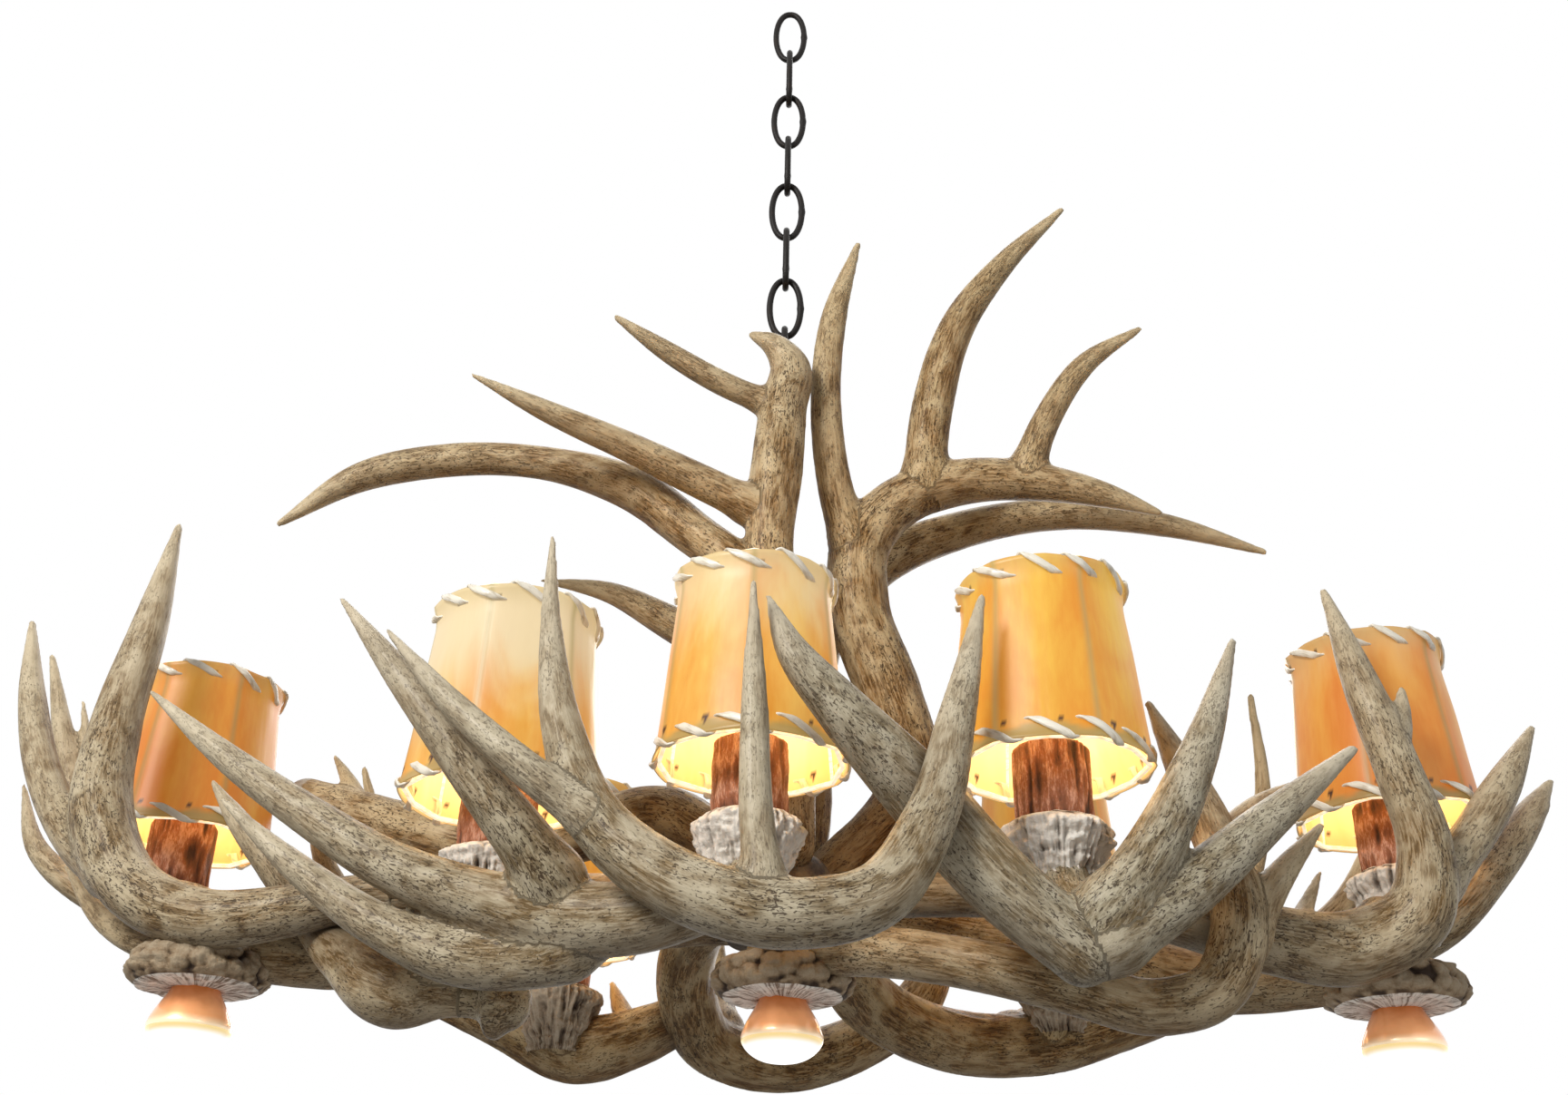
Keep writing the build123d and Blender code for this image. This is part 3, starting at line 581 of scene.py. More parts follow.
def feed(tree, socket, value):
    """Links a Value to a socket, or sets the socket to a number or colour."""
    if isinstance(value, Value):
        tree.links.new(value.socket, socket)
    elif isinstance(value, tuple) and len(value) == 3 and len(socket.default_value) == 4:
        socket.default_value = (*value, 1.0)
    else:
        socket.default_value = value


def add_node(tree, kind, output, settings, inputs):
    """Adds a node: its settings come first, then the values or links of its sockets. Gives one output."""
    node = tree.nodes.new("ShaderNode" + kind)
    for key, value in settings.items():
        setattr(node, key, value)
    for key, value in inputs.items():
        feed(tree, node.inputs[key], value)
    return Value(tree, node.outputs[output])


class Finish:
    """A material under construction: one Principled surface, and the nodes that feed it."""

    def __init__(self, name, **constants):
        self.material = bpy.data.materials.new(name)
        self.material.use_nodes = True
        self.tree = self.material.node_tree
        self.set(**constants)

    def set(self, **sockets):
        """Sets or links sockets of the surface, named with _ for a space. Gives the material."""
        surface = self.tree.nodes["Principled BSDF"]
        for socket, value in sockets.items():
            feed(self.tree, surface.inputs[socket.replace("_", " ")], value)
        return self.material

    def node(self, kind, output, settings=None, **inputs):
        """Any node of this material."""
        return add_node(self.tree, kind, output, settings or {}, inputs)

    def mark(self, name, output="Fac"):
        """What the piece's own attribute of that name holds."""
        return self.node("Attribute", output, {"attribute_name": name})

    def noise(self, where, scale, detail=3.0, roughness=0.55, distortion=0.0):
        """Noise with features 1 / scale metres long, from one scale or one for each direction."""
        scale = scale if isinstance(scale, tuple) else (scale, scale, scale)
        place = self.node("Mapping", 0, {"vector_type": "POINT"}, Vector=where, Scale=scale)
        return self.node("TexNoise", "Fac", Vector=place, Scale=1.0, Detail=detail,
                         Roughness=roughness, Distortion=distortion)

    def blend(self, share, first, second):
        """A colour between two colours."""
        return add_node(self.tree, "Mix", 2, {"data_type": "RGBA"}, {"Factor": share, 6: first, 7: second})

    def bump(self, height, distance, strength=1.0):
        """A normal that follows a height."""
        return self.node("Bump", "Normal", Height=height, Distance=distance, Strength=strength)


def colour(name):
    """One of the colours that a user may change."""
    return tuple(getattr(bpy.context.scene.chandelier_colours, name))


def once(build):
    """Keeps a finish after it is first built, so that pieces share it."""
    made = {}

    def fetch(*key):
        if key not in made:
            made[key] = build(*key)
        return made[key]

    return fetch


@once
def antler_finish(tan):
    """Stained antler: olive to tan in soft clouds, fine fibres, short dark pits, ivory ridges and tips, with
    painted shade on faces that look down and near other antlers.
    """
    f = Finish("antler_%02d" % round(tan * 100), Coat_Roughness=0.26, Coat_IOR=1.35,
               Specular_IOR_Level=0.20 - 0.10 * tan)
    grain = f.mark("grain", "Vector")
    relief, tip, cut = f.mark("relief"), f.mark("tip"), f.mark("cut")
    under, slender, crowd = f.mark("under"), f.mark("slender"), f.mark("crowd")
    grey, brown = np.array(colour("grey_antler")), np.array(colour("tan_antler"))
    body = grey * (1 - tan) + brown * tan
    pale_bone = tuple(np.array(colour("ivory")) * (1 - tan * np.array((0.10, 0.22, 0.42))))
    broad = f.noise(grain, (20, 20, 9), detail=2.0)
    cloud = f.noise(grain, (62, 62, 34), detail=3.0, roughness=0.55, distortion=0.5)
    streak = f.noise(grain, (560, 560, 52), detail=4.0, roughness=0.66, distortion=0.3)
    fine = f.noise(grain, (1100, 1100, 300), detail=3.0, roughness=0.65)
    squiggle = f.noise(grain, (470, 470, 185), detail=2.0, roughness=0.5, distortion=1.6)
    warm = tuple(body * (0.78, 0.62, 0.42))
    cool = tuple(np.minimum(body * (1.24, 1.32, 1.44), 1))
    tone = f.blend((broad * 0.45 + cloud * 0.65).step(0.40, 0.72), warm, cool)
    tone = f.blend((streak * 0.7 + fine * 0.3).step(0.46, 0.62) * 0.42, tone, pale_bone)
    tone = f.blend((relief * 0.3 + cloud * 0.7).step(0.42, 0.76) * 0.62, tone, pale_bone)
    tone = f.blend(slender * (0.34 + 0.30 * broad), tone, pale_bone)
    tone = f.blend(tip * (0.30 + 0.45 * cloud.step(0.35, 0.6)), tone, pale_bone)
    groove = (1.0 - relief).step(0.46, 0.92) * (0.20 + 0.55 * tan)
    tone = f.blend(groove * streak.step(0.30, 0.58) * (1.0 - tip * 0.7), tone, colour("stain_and_shade"))
    fissure = (1.0 - streak).step(0.50, 0.57) * (1.0 - cloud).step(0.36, 0.66) * (1.0 - slender * 0.5)
    tone = f.blend(fissure * (0.32 + 0.36 * tan) * (1.0 - tip * 0.6), tone, colour("stain_and_shade"))
    pits = squiggle.step(0.555, 0.605) * (broad * 0.5 + fine * 0.5).step(0.43, 0.54) * (1.0 - slender * 0.65)
    tone = f.blend(pits * 0.85, tone, colour("stain_and_shade"))
    # Painted shade: faces that look down are darkened with the stain colour, where shadow falls on them.
    tone = f.blend(under * (0.34 + 0.40 * cloud) * (1.0 - slender * 0.4), tone, colour("stain_and_shade"))
    # Painted shade: places close to the other antlers are darkened with the stain colour, as a contact
    # shadow.
    tone = f.blend(crowd * (0.55 + 0.35 * cloud), tone, colour("stain_and_shade"))
    tone = f.blend(cut, tone, (0.50, 0.45, 0.37))
    height = streak * 0.55 + fine * 0.25 + cloud * 0.6 - pits * 0.8 - fissure * (0.2 + 0.5 * tan)
    return f.set(
        Base_Color=tone,
        Roughness=0.40 + 0.26 * streak - 0.12 * tip,
        Coat_Weight=(0.08 + 0.22 * cloud) * (1.0 - 0.7 * tan),
        Normal=f.bump(height, 0.0013, 0.8),
    )


@once
def burr_finish(chalk):
    """Burr: knobs with dark clefts between them, and a streaky grey-white face where it is cut."""
    f = Finish("burr_bone_%02d" % round(chalk * 100), Specular_IOR_Level=0.3)
    where = f.node("TexCoord", "Object")
    cut, relief = f.mark("cut"), f.mark("relief")
    grain = f.mark("grain", "Vector")
    rough = f.noise(where, 150, detail=5.0, roughness=0.68)
    small = f.noise(where, 560, detail=3.0)
    fibre = f.noise(grain, (260, 60, 60), detail=4.0, roughness=0.6)
    brown, bone = np.array((0.27, 0.185, 0.105)), np.array((0.82, 0.77, 0.70))
    top = tuple(brown * (1 - chalk) + bone * chalk)
    cleft = (0.040 + 0.03 * chalk, 0.022 + 0.02 * chalk, 0.012 + 0.012 * chalk)
    knobs = f.blend((relief * 0.95 + rough * 0.40).step(0.48, 0.92), cleft, top)
    worn = tuple(np.array((0.46, 0.38, 0.27)) * (1 - chalk) + np.array((0.88, 0.85, 0.80)) * chalk)
    knobs = f.blend((relief * 0.5 + small * 0.3 + rough * 0.3).step(0.56, 0.80) * 0.6, knobs, worn)
    face = f.blend((fibre * 0.7 + rough * 0.4).step(0.42, 0.62), (0.20, 0.15, 0.11), (0.84, 0.81, 0.76))
    tone = f.blend(cut.step(0.3, 0.7), knobs, face)
    return f.set(
        Base_Color=tone,
        Roughness=0.50 + 0.3 * rough,
        Normal=f.bump(rough + small * 0.5, 0.0018, 0.9),
    )


@once
def bark_finish():
    """Bark: upright ridges, red-brown, nearly black in the clefts, with worn pinkish crests."""
    f = Finish("bark", Specular_IOR_Level=0.4)
    relief = f.mark("relief")
    grain = f.mark("grain", "Vector")
    streak = f.noise(grain, (240, 240, 60), detail=5.0, roughness=0.7, distortion=0.3)
    fine = f.noise(grain, (800, 800, 220), detail=3.0, roughness=0.65)
    ridge = (relief * 0.60 + streak * 0.60).step(0.42, 0.80)
    tone = f.blend(ridge, (0.045, 0.016, 0.009), colour("bark"))
    crest = (relief * 0.40 + fine * 0.50 + streak * 0.30).step(0.66, 0.86)
    tone = f.blend(crest * 0.85, tone, (0.66, 0.40, 0.30))
    return f.set(
        Base_Color=tone,
        Roughness=0.45 + 0.35 * fine,
        Normal=f.bump(streak + fine * 0.5, 0.0022, 1.0),
    )


@once
def hide_finish(pale, lit):
    """Lit rawhide with the bulb's light through it painted in as a glow: amber, cream towards the top where
    it is pale, orange below, dull along seams and rims, brightest on the inner side.
    """
    f = Finish("rawhide_%02d_%02d" % (round(pale * 100), round(lit * 100)), Roughness=0.42, Coat_Weight=0.12,
               Coat_Roughness=0.3, Emission_Strength=0.60 * lit, Specular_IOR_Level=0.3)
    seam, hole, hem = f.mark("seam"), f.mark("hole"), f.mark("hem")
    height, inner, panel = f.mark("height"), f.mark("inner"), f.mark("panel")
    where = f.node("TexCoord", "Object")
    cloud = f.noise(where, (20, 20, 10), detail=3.0, distortion=0.8)
    fibre = f.noise(where, (190, 190, 34), detail=4.0, roughness=0.6)
    warm = np.array(colour("hide")) * (1.28 - 0.28 * lit, 0.70 + 0.30 * lit, 1.0)
    low = tuple(warm * (0.90, 0.66, 0.60))
    high = tuple(np.minimum(warm * (1.04, 1.22, 1.5 + pale), 1))
    glow = cloud * 0.60 + fibre * 0.25 + height * 0.14 + panel * 0.24
    tone = f.blend(glow.step(0.38, 0.88), low, high)
    cream = (height * 1.1 + cloud * 0.7 + (pale - 1.0) * 0.9).step(0.45, 1.15)
    tone = f.blend(cream * (0.15 + 0.8 * pale), tone, (0.74, 0.62, 0.40))
    tone = f.blend(height.step(0.86, 1.0) * 0.35, tone, (0.55, 0.42, 0.18))
    tone = f.blend(seam * 0.55, tone, (0.36, 0.30, 0.12))
    tone = f.blend(hem * 0.85, tone, (0.36, 0.26, 0.09))
    # Painted light: the inner side is bright cream-yellow, as if the bulb lit it.
    inside = f.blend((cloud * 0.6 + height).step(0.15, 0.75), (1.0, 0.60, 0.20), (1.0, 0.86, 0.48))
    tone = f.blend(inner, tone, inside)
    tone = f.blend(hole, tone, (0.06, 0.02, 0.01))
    # Emission paints the bulb's light shining through the hide as a glow, dimmer where lit is low.
    return f.set(
        Base_Color=f.blend(0.42, tone, (0.0, 0.0, 0.0)),
        Emission_Color=tone,
        Normal=f.bump(cloud * 0.5 + fibre * 0.35 - seam * 0.6, 0.0012, 0.5),
    )


@once
def lace_finish():
    """Rawhide lace: off-white, a little dirty in its folds, with fibres along it."""
    f = Finish("rawhide_lace", Roughness=0.38, Coat_Weight=0.2)
    grain = f.mark("grain", "Vector")
    fibre = f.noise(grain, (700, 700, 70), detail=4.0)
    broad = f.noise(grain, (60, 60, 30), detail=2.0)
    tone = f.blend((broad * 0.6 + fibre * 0.4).step(0.28, 0.52), (0.46, 0.37, 0.24), colour("lace"))
    return f.set(Base_Color=tone, Normal=f.bump(fibre, 0.0006, 0.8))


@once
def bronze_finish():
    """Dark bronze, rubbed a little brown on its high places."""
    f = Finish("rubbed_bronze", Metallic=0.1, Specular_IOR_Level=0.22)
    where = f.node("TexCoord", "Object")
    cloud = f.noise(where, 90, detail=4.0)
    fine = f.noise(where, 700, detail=2.0)
    dark = colour("bronze")
    rubbed = (dark[0] * 2.4, dark[1] * 1.9, dark[2] * 1.5)
    tone = f.blend(cloud.step(0.52, 0.74) * 0.7, dark, rubbed)
    return f.set(Base_Color=tone, Roughness=0.34 + 0.3 * cloud, Normal=f.bump(fine + cloud, 0.0004, 0.6))


@once
def hub_finish():
    """Casting painted in the antlers' brown, with a darker wash."""
    f = Finish("painted_casting", Specular_IOR_Level=0.35)
    where = f.node("TexCoord", "Object")
    cloud = f.noise(where, 60, detail=4.0, roughness=0.6)
    fine = f.noise(where, 500, detail=2.0)
    tone = f.blend(cloud.step(0.36, 0.66), (0.045, 0.028, 0.016), (0.20, 0.145, 0.085))
    return f.set(Base_Color=tone, Roughness=0.5 + 0.3 * cloud, Normal=f.bump(fine + cloud, 0.0008, 0.8))


@once
def zinc_finish():
    """Zinc plate with a soft spangle."""
    f = Finish("zinc_plate", Metallic=0.9)
    where = f.node("TexCoord", "Object")
    spangle = f.noise(where, 300, detail=2.0)
    tone = f.blend(spangle.step(0.35, 0.65), (0.30, 0.29, 0.27), (0.48, 0.46, 0.42))
    return f.set(Base_Color=tone, Roughness=0.30 + 0.25 * spangle)


@once
def phenolic_finish():
    """Moulded ivory lampholder."""
    f = Finish("moulded_lampholder", Coat_Weight=0.2)
    where = f.node("TexCoord", "Object")
    cloud = f.noise(where, 60, detail=2.0)
    tone = f.blend(cloud.step(0.3, 0.7), (0.60, 0.54, 0.42), (0.72, 0.67, 0.55))
    return f.set(Base_Color=tone, Roughness=0.35 + 0.15 * cloud)


@once
def wire_finish():
    """Frame wire wrapped in pale hide, with a painted glow as if the bulb lit it."""
    # The emission paints a glow on the wire, as if the bulb lit it.
    f = Finish("wrapped_wire", Emission_Strength=0.80)
    where = f.node("TexCoord", "Object")
    wrap = f.noise(where, (160, 160, 420), detail=3.0)
    tone = f.blend(wrap.step(0.35, 0.65), (0.80, 0.66, 0.42), (0.95, 0.88, 0.70))
    return f.set(
        Base_Color=tone,
        Emission_Color=tone,
        Roughness=0.5 + 0.2 * wrap,
        Normal=f.bump(wrap, 0.0004),
    )


@once
def bulb_finish():
    """Lit frosted glass with a brass foot below it."""
    f = Finish("frosted_bulb", Emission_Strength=20.0, Coat_Weight=0.6, Coat_Roughness=0.12)
    foot = f.mark("foot")
    where = f.node("TexCoord", "Object")
    frost = f.noise(where, 900, detail=1.0)
    tone = f.blend(foot, (1.0, 0.90, 0.70), (0.75, 0.50, 0.20))
    light = f.blend(foot, (1.0, 0.60, 0.24), (0.004, 0.002, 0.001))
    return f.set(Base_Color=tone, Emission_Color=light, Metallic=foot, Roughness=0.25 + 0.2 * frost)


@once
def reflector_finish():
    """Coppery coat of a reflector lamp seen through its glass, palest just above the lens."""
    f = Finish("copper_shoulder", Metallic=0.35, Coat_Weight=0.9, Coat_Roughness=0.08, Emission_Strength=0.42)
    height = f.mark("height")
    where = f.node("TexCoord", "Object")
    cloud = f.noise(where, 70, detail=2.0)
    tone = f.blend((height + (cloud - 0.5) * 0.4).step(0.25, 1.0), colour("copper"), (0.40, 0.12, 0.03))
    tone = f.blend((1.0 - height).step(0.72, 1.0), tone, (0.98, 0.78, 0.52))
    return f.set(Base_Color=tone, Emission_Color=tone, Roughness=0.25 + 0.2 * cloud)


@once
def lens_finish():
    """Lit lens: white at the middle, straw yellow at its edge."""
    f = Finish("lit_lens", Roughness=0.22, Coat_Weight=0.4, Coat_Roughness=0.08, Emission_Strength=1.0)
    edge = f.mark("edge")
    where = f.node("TexCoord", "Object")
    stipple = f.noise(where, 420, detail=2.0)
    tone = f.blend(edge.step(0.90, 1.0), (0.30, 0.29, 0.28), (0.16, 0.12, 0.05))
    glow = f.blend(edge.step(0.90, 1.0), (0.94, 0.94, 0.93), (0.86, 0.64, 0.28))
    return f.set(Base_Color=tone, Emission_Color=glow, Normal=f.bump(stipple, 0.0005, 0.4))


# ---------------------------------------------------------------- antlers
def branch_lines(name, branches):
    """Smooth lines of every branch and stalk of an antler, as (points, radii, tip share, girth) in metres.

    The girth is the radius as written, and the radii are a little less, so that the furrowed skin keeps to
    the solid. Those of a side branch swell by a fifth at 1.25 root radii along it, and shrink by a fifth at
    its root, where it is inside its beam.
    """
    lines = []
    for number, branch in enumerate(branches):
        path = flowing(branch, 4.0)
        line, girth = path[:, :3] * MM, path[:, 3] * MM
        along = run_along(line)
        radii = girth
        if number:
            leaving = (along - 1.25 * girth[0]) / (0.75 * girth[0])
            root = np.clip(1 - along / (0.9 * girth[0]), 0, 1)
            radii = girth * (1 + 0.20 * np.exp(-(leaving**2)) - 0.20 * root)
        tip = 0 * along
        if branch[-1][3] < TIP_RADIUS:
            tip = np.clip(1 - (along[-1] - along) / (0.34 * along[-1]), 0, 1) ** 1.6
        if branch[0][3] < TIP_RADIUS:
            tip = np.maximum(tip, np.clip(1 - along / (0.3 * along[-1]), 0, 1) ** 1.6)
        lines.append((line, radii * 0.99, tip, girth))
    for candle, (x, y, z), _, _, _ in CANDLES:
        carrier, start = STALKS[candle]
        if carrier == name:
            path = flowing([start, (x, y, z - 26, 23), (x, y, z - 8, 24)], 4.0)
            lines.append((path[:, :3] * MM, path[:, 3] * MM * 0.97, np.zeros(len(path)), path[:, 3] * MM))
    return lines


def nearest_ball(points, centres, radii):
    """For each point, which ball has the least gap |point - centre| - radius, and that gap."""
    number, gap = np.empty(len(points), int), np.empty(len(points))
    at_once = 4000
    for start in range(0, len(points), at_once):
        some = slice(start, start + at_once)
        apart = np.sqrt(((points[some, None] - centres[None]) ** 2).sum(-1)) - radii
        number[some] = apart.argmin(axis=1)
        gap[some] = apart.min(axis=1)
    return number, gap


def straightened(points, lines):
    """For each point, its place on the nearest branch: (across, across, along), tip share and girth.

    The nearest branch is the one whose axis is closest once its radius is taken off.
    """
    frames, along, start = [], [], 0.0
    for line, _, _, _ in lines:
        frames.append(np.stack(frames_along(line), axis=1))
        along.append(run_along(line) + start)
        start = along[-1][-1] + 0.37  # so that no two branches share their noise
    frames, along = np.concatenate(frames), np.concatenate(along)
    samples, radii, tips, girths = (np.concatenate(column) for column in zip(*lines))
    nearest, _ = nearest_ball(points, samples, radii)
    local = np.einsum("nij,nj->ni", frames[nearest], points - samples[nearest])
    grain = np.stack([local[:, 1], local[:, 2], along[nearest] + local[:, 0]], axis=1)
    return grain, tips[nearest], girths[nearest]


def contact_shade_amount(points, own):
    """Nearness of the other antlers, which sets where contact shadow is painted: exp(-gap / 8 mm), with the
    gap to the nearest tube among them.
    """
    reach = 0.05
    low, high = points.min(axis=0) - reach, points.max(axis=0) + reach
    near = []
    for name, (_, branches) in ANTLERS.items():
        if name != own:
            for line, radii, _, _ in branch_lines(name, branches):
                balls = np.column_stack([line, radii])[::3]
                near.append(balls[((balls[:, :3] > low) & (balls[:, :3] < high)).all(axis=1)])
    near = np.concatenate(near)
    _, gap = nearest_ball(points, near[:, :3], near[:, 3])
    return np.exp(-np.clip(gap, 0, 1) / 0.008)


def fused(name, shape, voxel):
    """One closed skin round the overlapping tubes, from a voxel remesh that is then smoothed.

    Gives the mesh, its points and its normals.
    """
    rough = mesh_object(name + "_tubes", np.concatenate(shape.points), np.concatenate(shape.quads))
    remesh = rough.modifiers.new("fuse", "REMESH")
    remesh.mode = "VOXEL"
    remesh.voxel_size = voxel
    relax = rough.modifiers.new("relax", "SMOOTH")
    relax.iterations = 14
    relax.factor = 0.6
    whole = bpy.data.meshes.new_from_object(rough.evaluated_get(bpy.context.evaluated_depsgraph_get()))
    bpy.data.objects.remove(rough)
    found = [whole]
    for what in ("co", "normal"):
        values = np.empty(len(whole.vertices) * 3, np.float32)
        whole.vertices.foreach_get(what, values)
        found.append(values.reshape(-1, 3).astype(float))
    return found


def furrowed(grain, seed, rough):
    """Height from 0 to 1 of the antler's skin.

    Ridged noise drawn out along the grain makes the furrows, and rounder noise makes small pearls. Both grow
    with rough, over a broad wave that is there everywhere.
    """
    furrow = ridged_noise(grain / (0.0085, 0.0085, 0.060) + seed, seed)
    wave = lattice_noise(grain / (0.018, 0.018, 0.075) + seed, seed + 1)
    pearl = lattice_noise(grain / (0.0075, 0.0075, 0.012) + seed, seed + 2)
    height = 0.55 * (1 - rough) + rough * (0.72 * furrow + 0.25 * pearl) + 0.40 * (wave - 0.5) + 0.06
    return np.clip(height, 0, 1)


def build_antler(name, tan, branches, seed):
    """Tubes along an antler's branches, fused into one skin and then furrowed along the grain."""
    sizes = bpy.context.scene.chandelier_sizes
    lines = branch_lines(name, branches)
    tubes = Shape()
    sides = 20
    for number, (line, radii, _, _) in enumerate(lines):
        line, radii = round_ends(line, radii, 0.25 if number else 0.9)
        _, side, other = frames_along(line)
        tubes.add(rings_round(line, side, other, sides, radii), grid_faces(len(line), sides))
    mesh, points, normals = fused(name, tubes, sizes.voxel * (1))
    grain, tip, girth = straightened(points, lines)
    rough = np.clip(girth / 0.024, 0.15, 1) ** 1.5 * (1 - 0.85 * tip) * (0.30 + 0.95 * tan)
    relief = furrowed(grain, seed, rough)
    depth = sizes.furrow * (0.25 + rough) * np.clip(girth / 0.012, 0.1, 1)
    points = points + normals * ((relief - 0.62) * depth)[:, None]
    mesh.vertices.foreach_set("co", points.astype(np.float32).ravel())
    mesh.polygons.foreach_set("use_smooth", np.ones(len(mesh.polygons), bool))
    mesh.update()
    root, second = (np.array(branches[0][i][:3]) * MM for i in (0, 1))
    heading = (second - root) / np.linalg.norm(second - root)
    bare_butt = name == "inner_left_antler"
    for mark, values in (
        ("grain", grain),
        ("relief", relief),
        ("tip", tip),
        ("slender", np.clip((0.020 - girth) / 0.013, 0, 1)),
        # Painted contact shadow goes where this mark is high, close to the other antlers.
        ("crowd", contact_shade_amount(points, name)),
        # Painted shade goes where this mark is high, on faces that look down.
        ("under", np.clip(-normals[:, 2] - 0.25, 0, 0.75) / 0.75),
        ("cut", ((points - root) @ heading < 0.001).astype(float) * bare_butt),
    ):
        set_mark(mesh, mark, values)
    mesh.materials.clear()
    mesh.materials.append(antler_finish(tan))
    settle(linked(name + "_skin", mesh), "fixture", [name])


# ---------------------------------------------------------------- burrs
def frill(around, path, reach, seed):
    """Ridges that run outwards over a burr: ridged noise of two sizes, narrow round it and long down it."""
    total = 0
    for part, (share, wide, long) in enumerate(((0.62, 4.6, 24.0), (0.38, 2.3, 11.0))):
        spots = stacked(np.cos(around) * reach / wide, np.sin(around) * reach / wide, path / long)
        total = total + share * ridged_noise(spots.reshape(-1, 3) + seed * 2.3, seed + part)
    return total.reshape(np.broadcast(around, path).shape)


def build_burr(name, spot, chalk, seed, profile, looks, columns, row, swell, frilled, start, sharp, face):
    """A burr: a profile turned round an upright line and pushed out by rows of knobs and by ridges.

    With knob the height of the knobs or ridges, and drift and fine two noises round 0, the radius grows by
    swell x (knob - 0.45 + 0.4 fine) + 6 drift where the profile is knobbly. The cut face wanders up and down
    by 2.4 drift + 1.6 fine.
    """
    x, y, base = spot
    sides = 320
    around = np.linspace(0, 2 * math.pi, sides, endpoint=False)[None]
    profile = softened(profile, 1.3)
    r, z = profile[:, :1], profile[:, 1:]
    path = run_along(profile)[:, None]
    lobe = pearls(around * columns / (2 * math.pi), path / row + 0 * around, columns, seed)
    knob = lobe * (1 - frilled) + frill(around, path, profile[:, 0].max(), seed) * frilled
    where = stacked(np.cos(around) * r / 16, np.sin(around) * r / 16, z / 9).reshape(-1, 3)
    drift = lattice_noise(where + seed * 3.7, seed).reshape(knob.shape) - 0.5
    fine = lattice_noise(where * 3.3 + seed, seed + 3).reshape(knob.shape) - 0.5
    on_knobs = 1 / (1 + np.exp((start - z) * sharp)) + 0 * around
    on_face = (z < face[0]) * (r < face[1]) + 0 * around
    rr = r + on_knobs * swell * (knob - 0.45 + 0.4 * fine) + drift * 6.0 * on_knobs
    zz = (z + on_face * (drift * 2.4 + fine * 1.6) * (r > 18)) * -looks
    quads = grid_faces(len(profile), sides)
    burr = Shape()
    burr.add(
        stacked(x + rr * np.cos(around), y + rr * np.sin(around), base + zz) * MM,
        quads if looks < 0 else quads[:, ::-1],
        cut=on_face.ravel(),
        relief=np.clip(knob * on_knobs + (0.5 + fine) * (1 - on_knobs), 0, 1).ravel(),
        grain=stacked(around * 0.06, 0.2 * r * MM, z * MM).reshape(-1, 3) + seed * 0.13,
    )
    burr.piece(name, "fixture", "cast_antler", burr_finish(chalk))


# ---------------------------------------------------------------- candles and lamps
def build_sleeve(shape, spot, seed):
    """Bark sleeve: radius 25.4 mm plus up to 3.8 mm of ridges, from noise drawn out along the height.

    The wall is turned in over the top and down again to half its height.
    """
    x, y, z = spot
    sides, rows = 150, 30
    around = np.linspace(0, 2 * math.pi, sides, endpoint=False)
    aa, hh = np.meshgrid(around, np.linspace(0, SLEEVE_HEIGHT, rows))
    grain = np.stack([np.cos(aa) * 29, np.sin(aa) * 29, hh], axis=-1).reshape(-1, 3)
    ridge = ridged_noise(grain / (5.0, 5.0, 26) + seed, seed)
    lump = lattice_noise(grain / (10, 10, 13) + seed, seed + 5)
    relief = np.clip(0.75 * ridge + 0.35 * lump, 0, 1).reshape(rows, sides)
    edge = np.minimum(np.minimum(hh, SLEEVE_HEIGHT - hh) / 3.0, 1.0)
    r = (25.4 + 3.8 * relief) - (1 - edge) ** 2 * 1.4
    wall = np.stack([x + r * np.cos(aa), y + r * np.sin(aa), z + hh], axis=-1)
    inner = wall[-1] + (np.array([x, y, z + SLEEVE_HEIGHT]) - wall[-1]) * 0.48
    down = inner.copy()
    down[:, 2] = z + 30
    points = np.concatenate([wall, inner[None], down[None]])
    full = np.concatenate([relief.ravel(), np.full(2 * sides, 0.7)])
    marks = np.concatenate([grain, grain[-sides:], grain[-sides:]]) * MM
    shape.add(points * MM, grid_faces(rows + 2, sides), relief=full, grain=marks + seed * 0.11)


def build_bulb(candle, spot):
    """Bulb: pear-shaped glass turned round its axis, on a narrow brass foot."""
    x, y, z = spot
    profile = np.concatenate([softened(BULB_GLASS, 1.2), softened(BULB_FOOT, 1.2)])[::-1]
    body = f"{candle}_bulb"
    bulb = Shape().turn(profile, (x, y, z + BULB_SEAT), 48, foot=(profile[:, 1] < 0.3).astype(float))
    bulb.piece(body + "_glass", body, "frosted_glass", bulb_finish(), replaces=[body])


def build_reflector(lamp, spot):
    """Reflector lamp: coppery shoulder turned from a narrow neck, and a domed lens that closes it."""
    body = f"{lamp}_reflector_lamp"
    shoulder, lens = softened(LAMP_SHOULDER, 1.0), softened(LAMP_LENS, 1.0)
    glass = Shape().turn(shoulder, spot, height=np.clip((shoulder[:, 1] + 32) / 32, 0, 1))
    glass.piece(f"{lamp}_lamp_shoulder", body, "lamp_glass", reflector_finish(), replaces=[body])
    front = Shape().turn(lens, spot, edge=lens[:, 0] / LENS_RADIUS)
    front.piece(f"{lamp}_lamp_lens", body, "lamp_glass", lens_finish())


# ---------------------------------------------------------------- shades
def between_seams(around):
    """0 at each of a shade's six seams, 1 midway between two, and straight from one to the other."""
    return np.abs(np.mod(around * 3 / math.pi + 0.5, 1) - 0.5) * 2


def panel_reach(around):
    """Share of the seam's radius at an angle from a seam.

    With m from 0 at a seam to 1 midway to the next: 1 - 0.04 m^0.8 (2 - m)^0.3, and a ripple of 0.004.
    """
    m = between_seams(around)
    return 1 - 0.040 * m**0.8 * (2 - m) ** 0.3 + 0.004 * np.cos(around * 12)


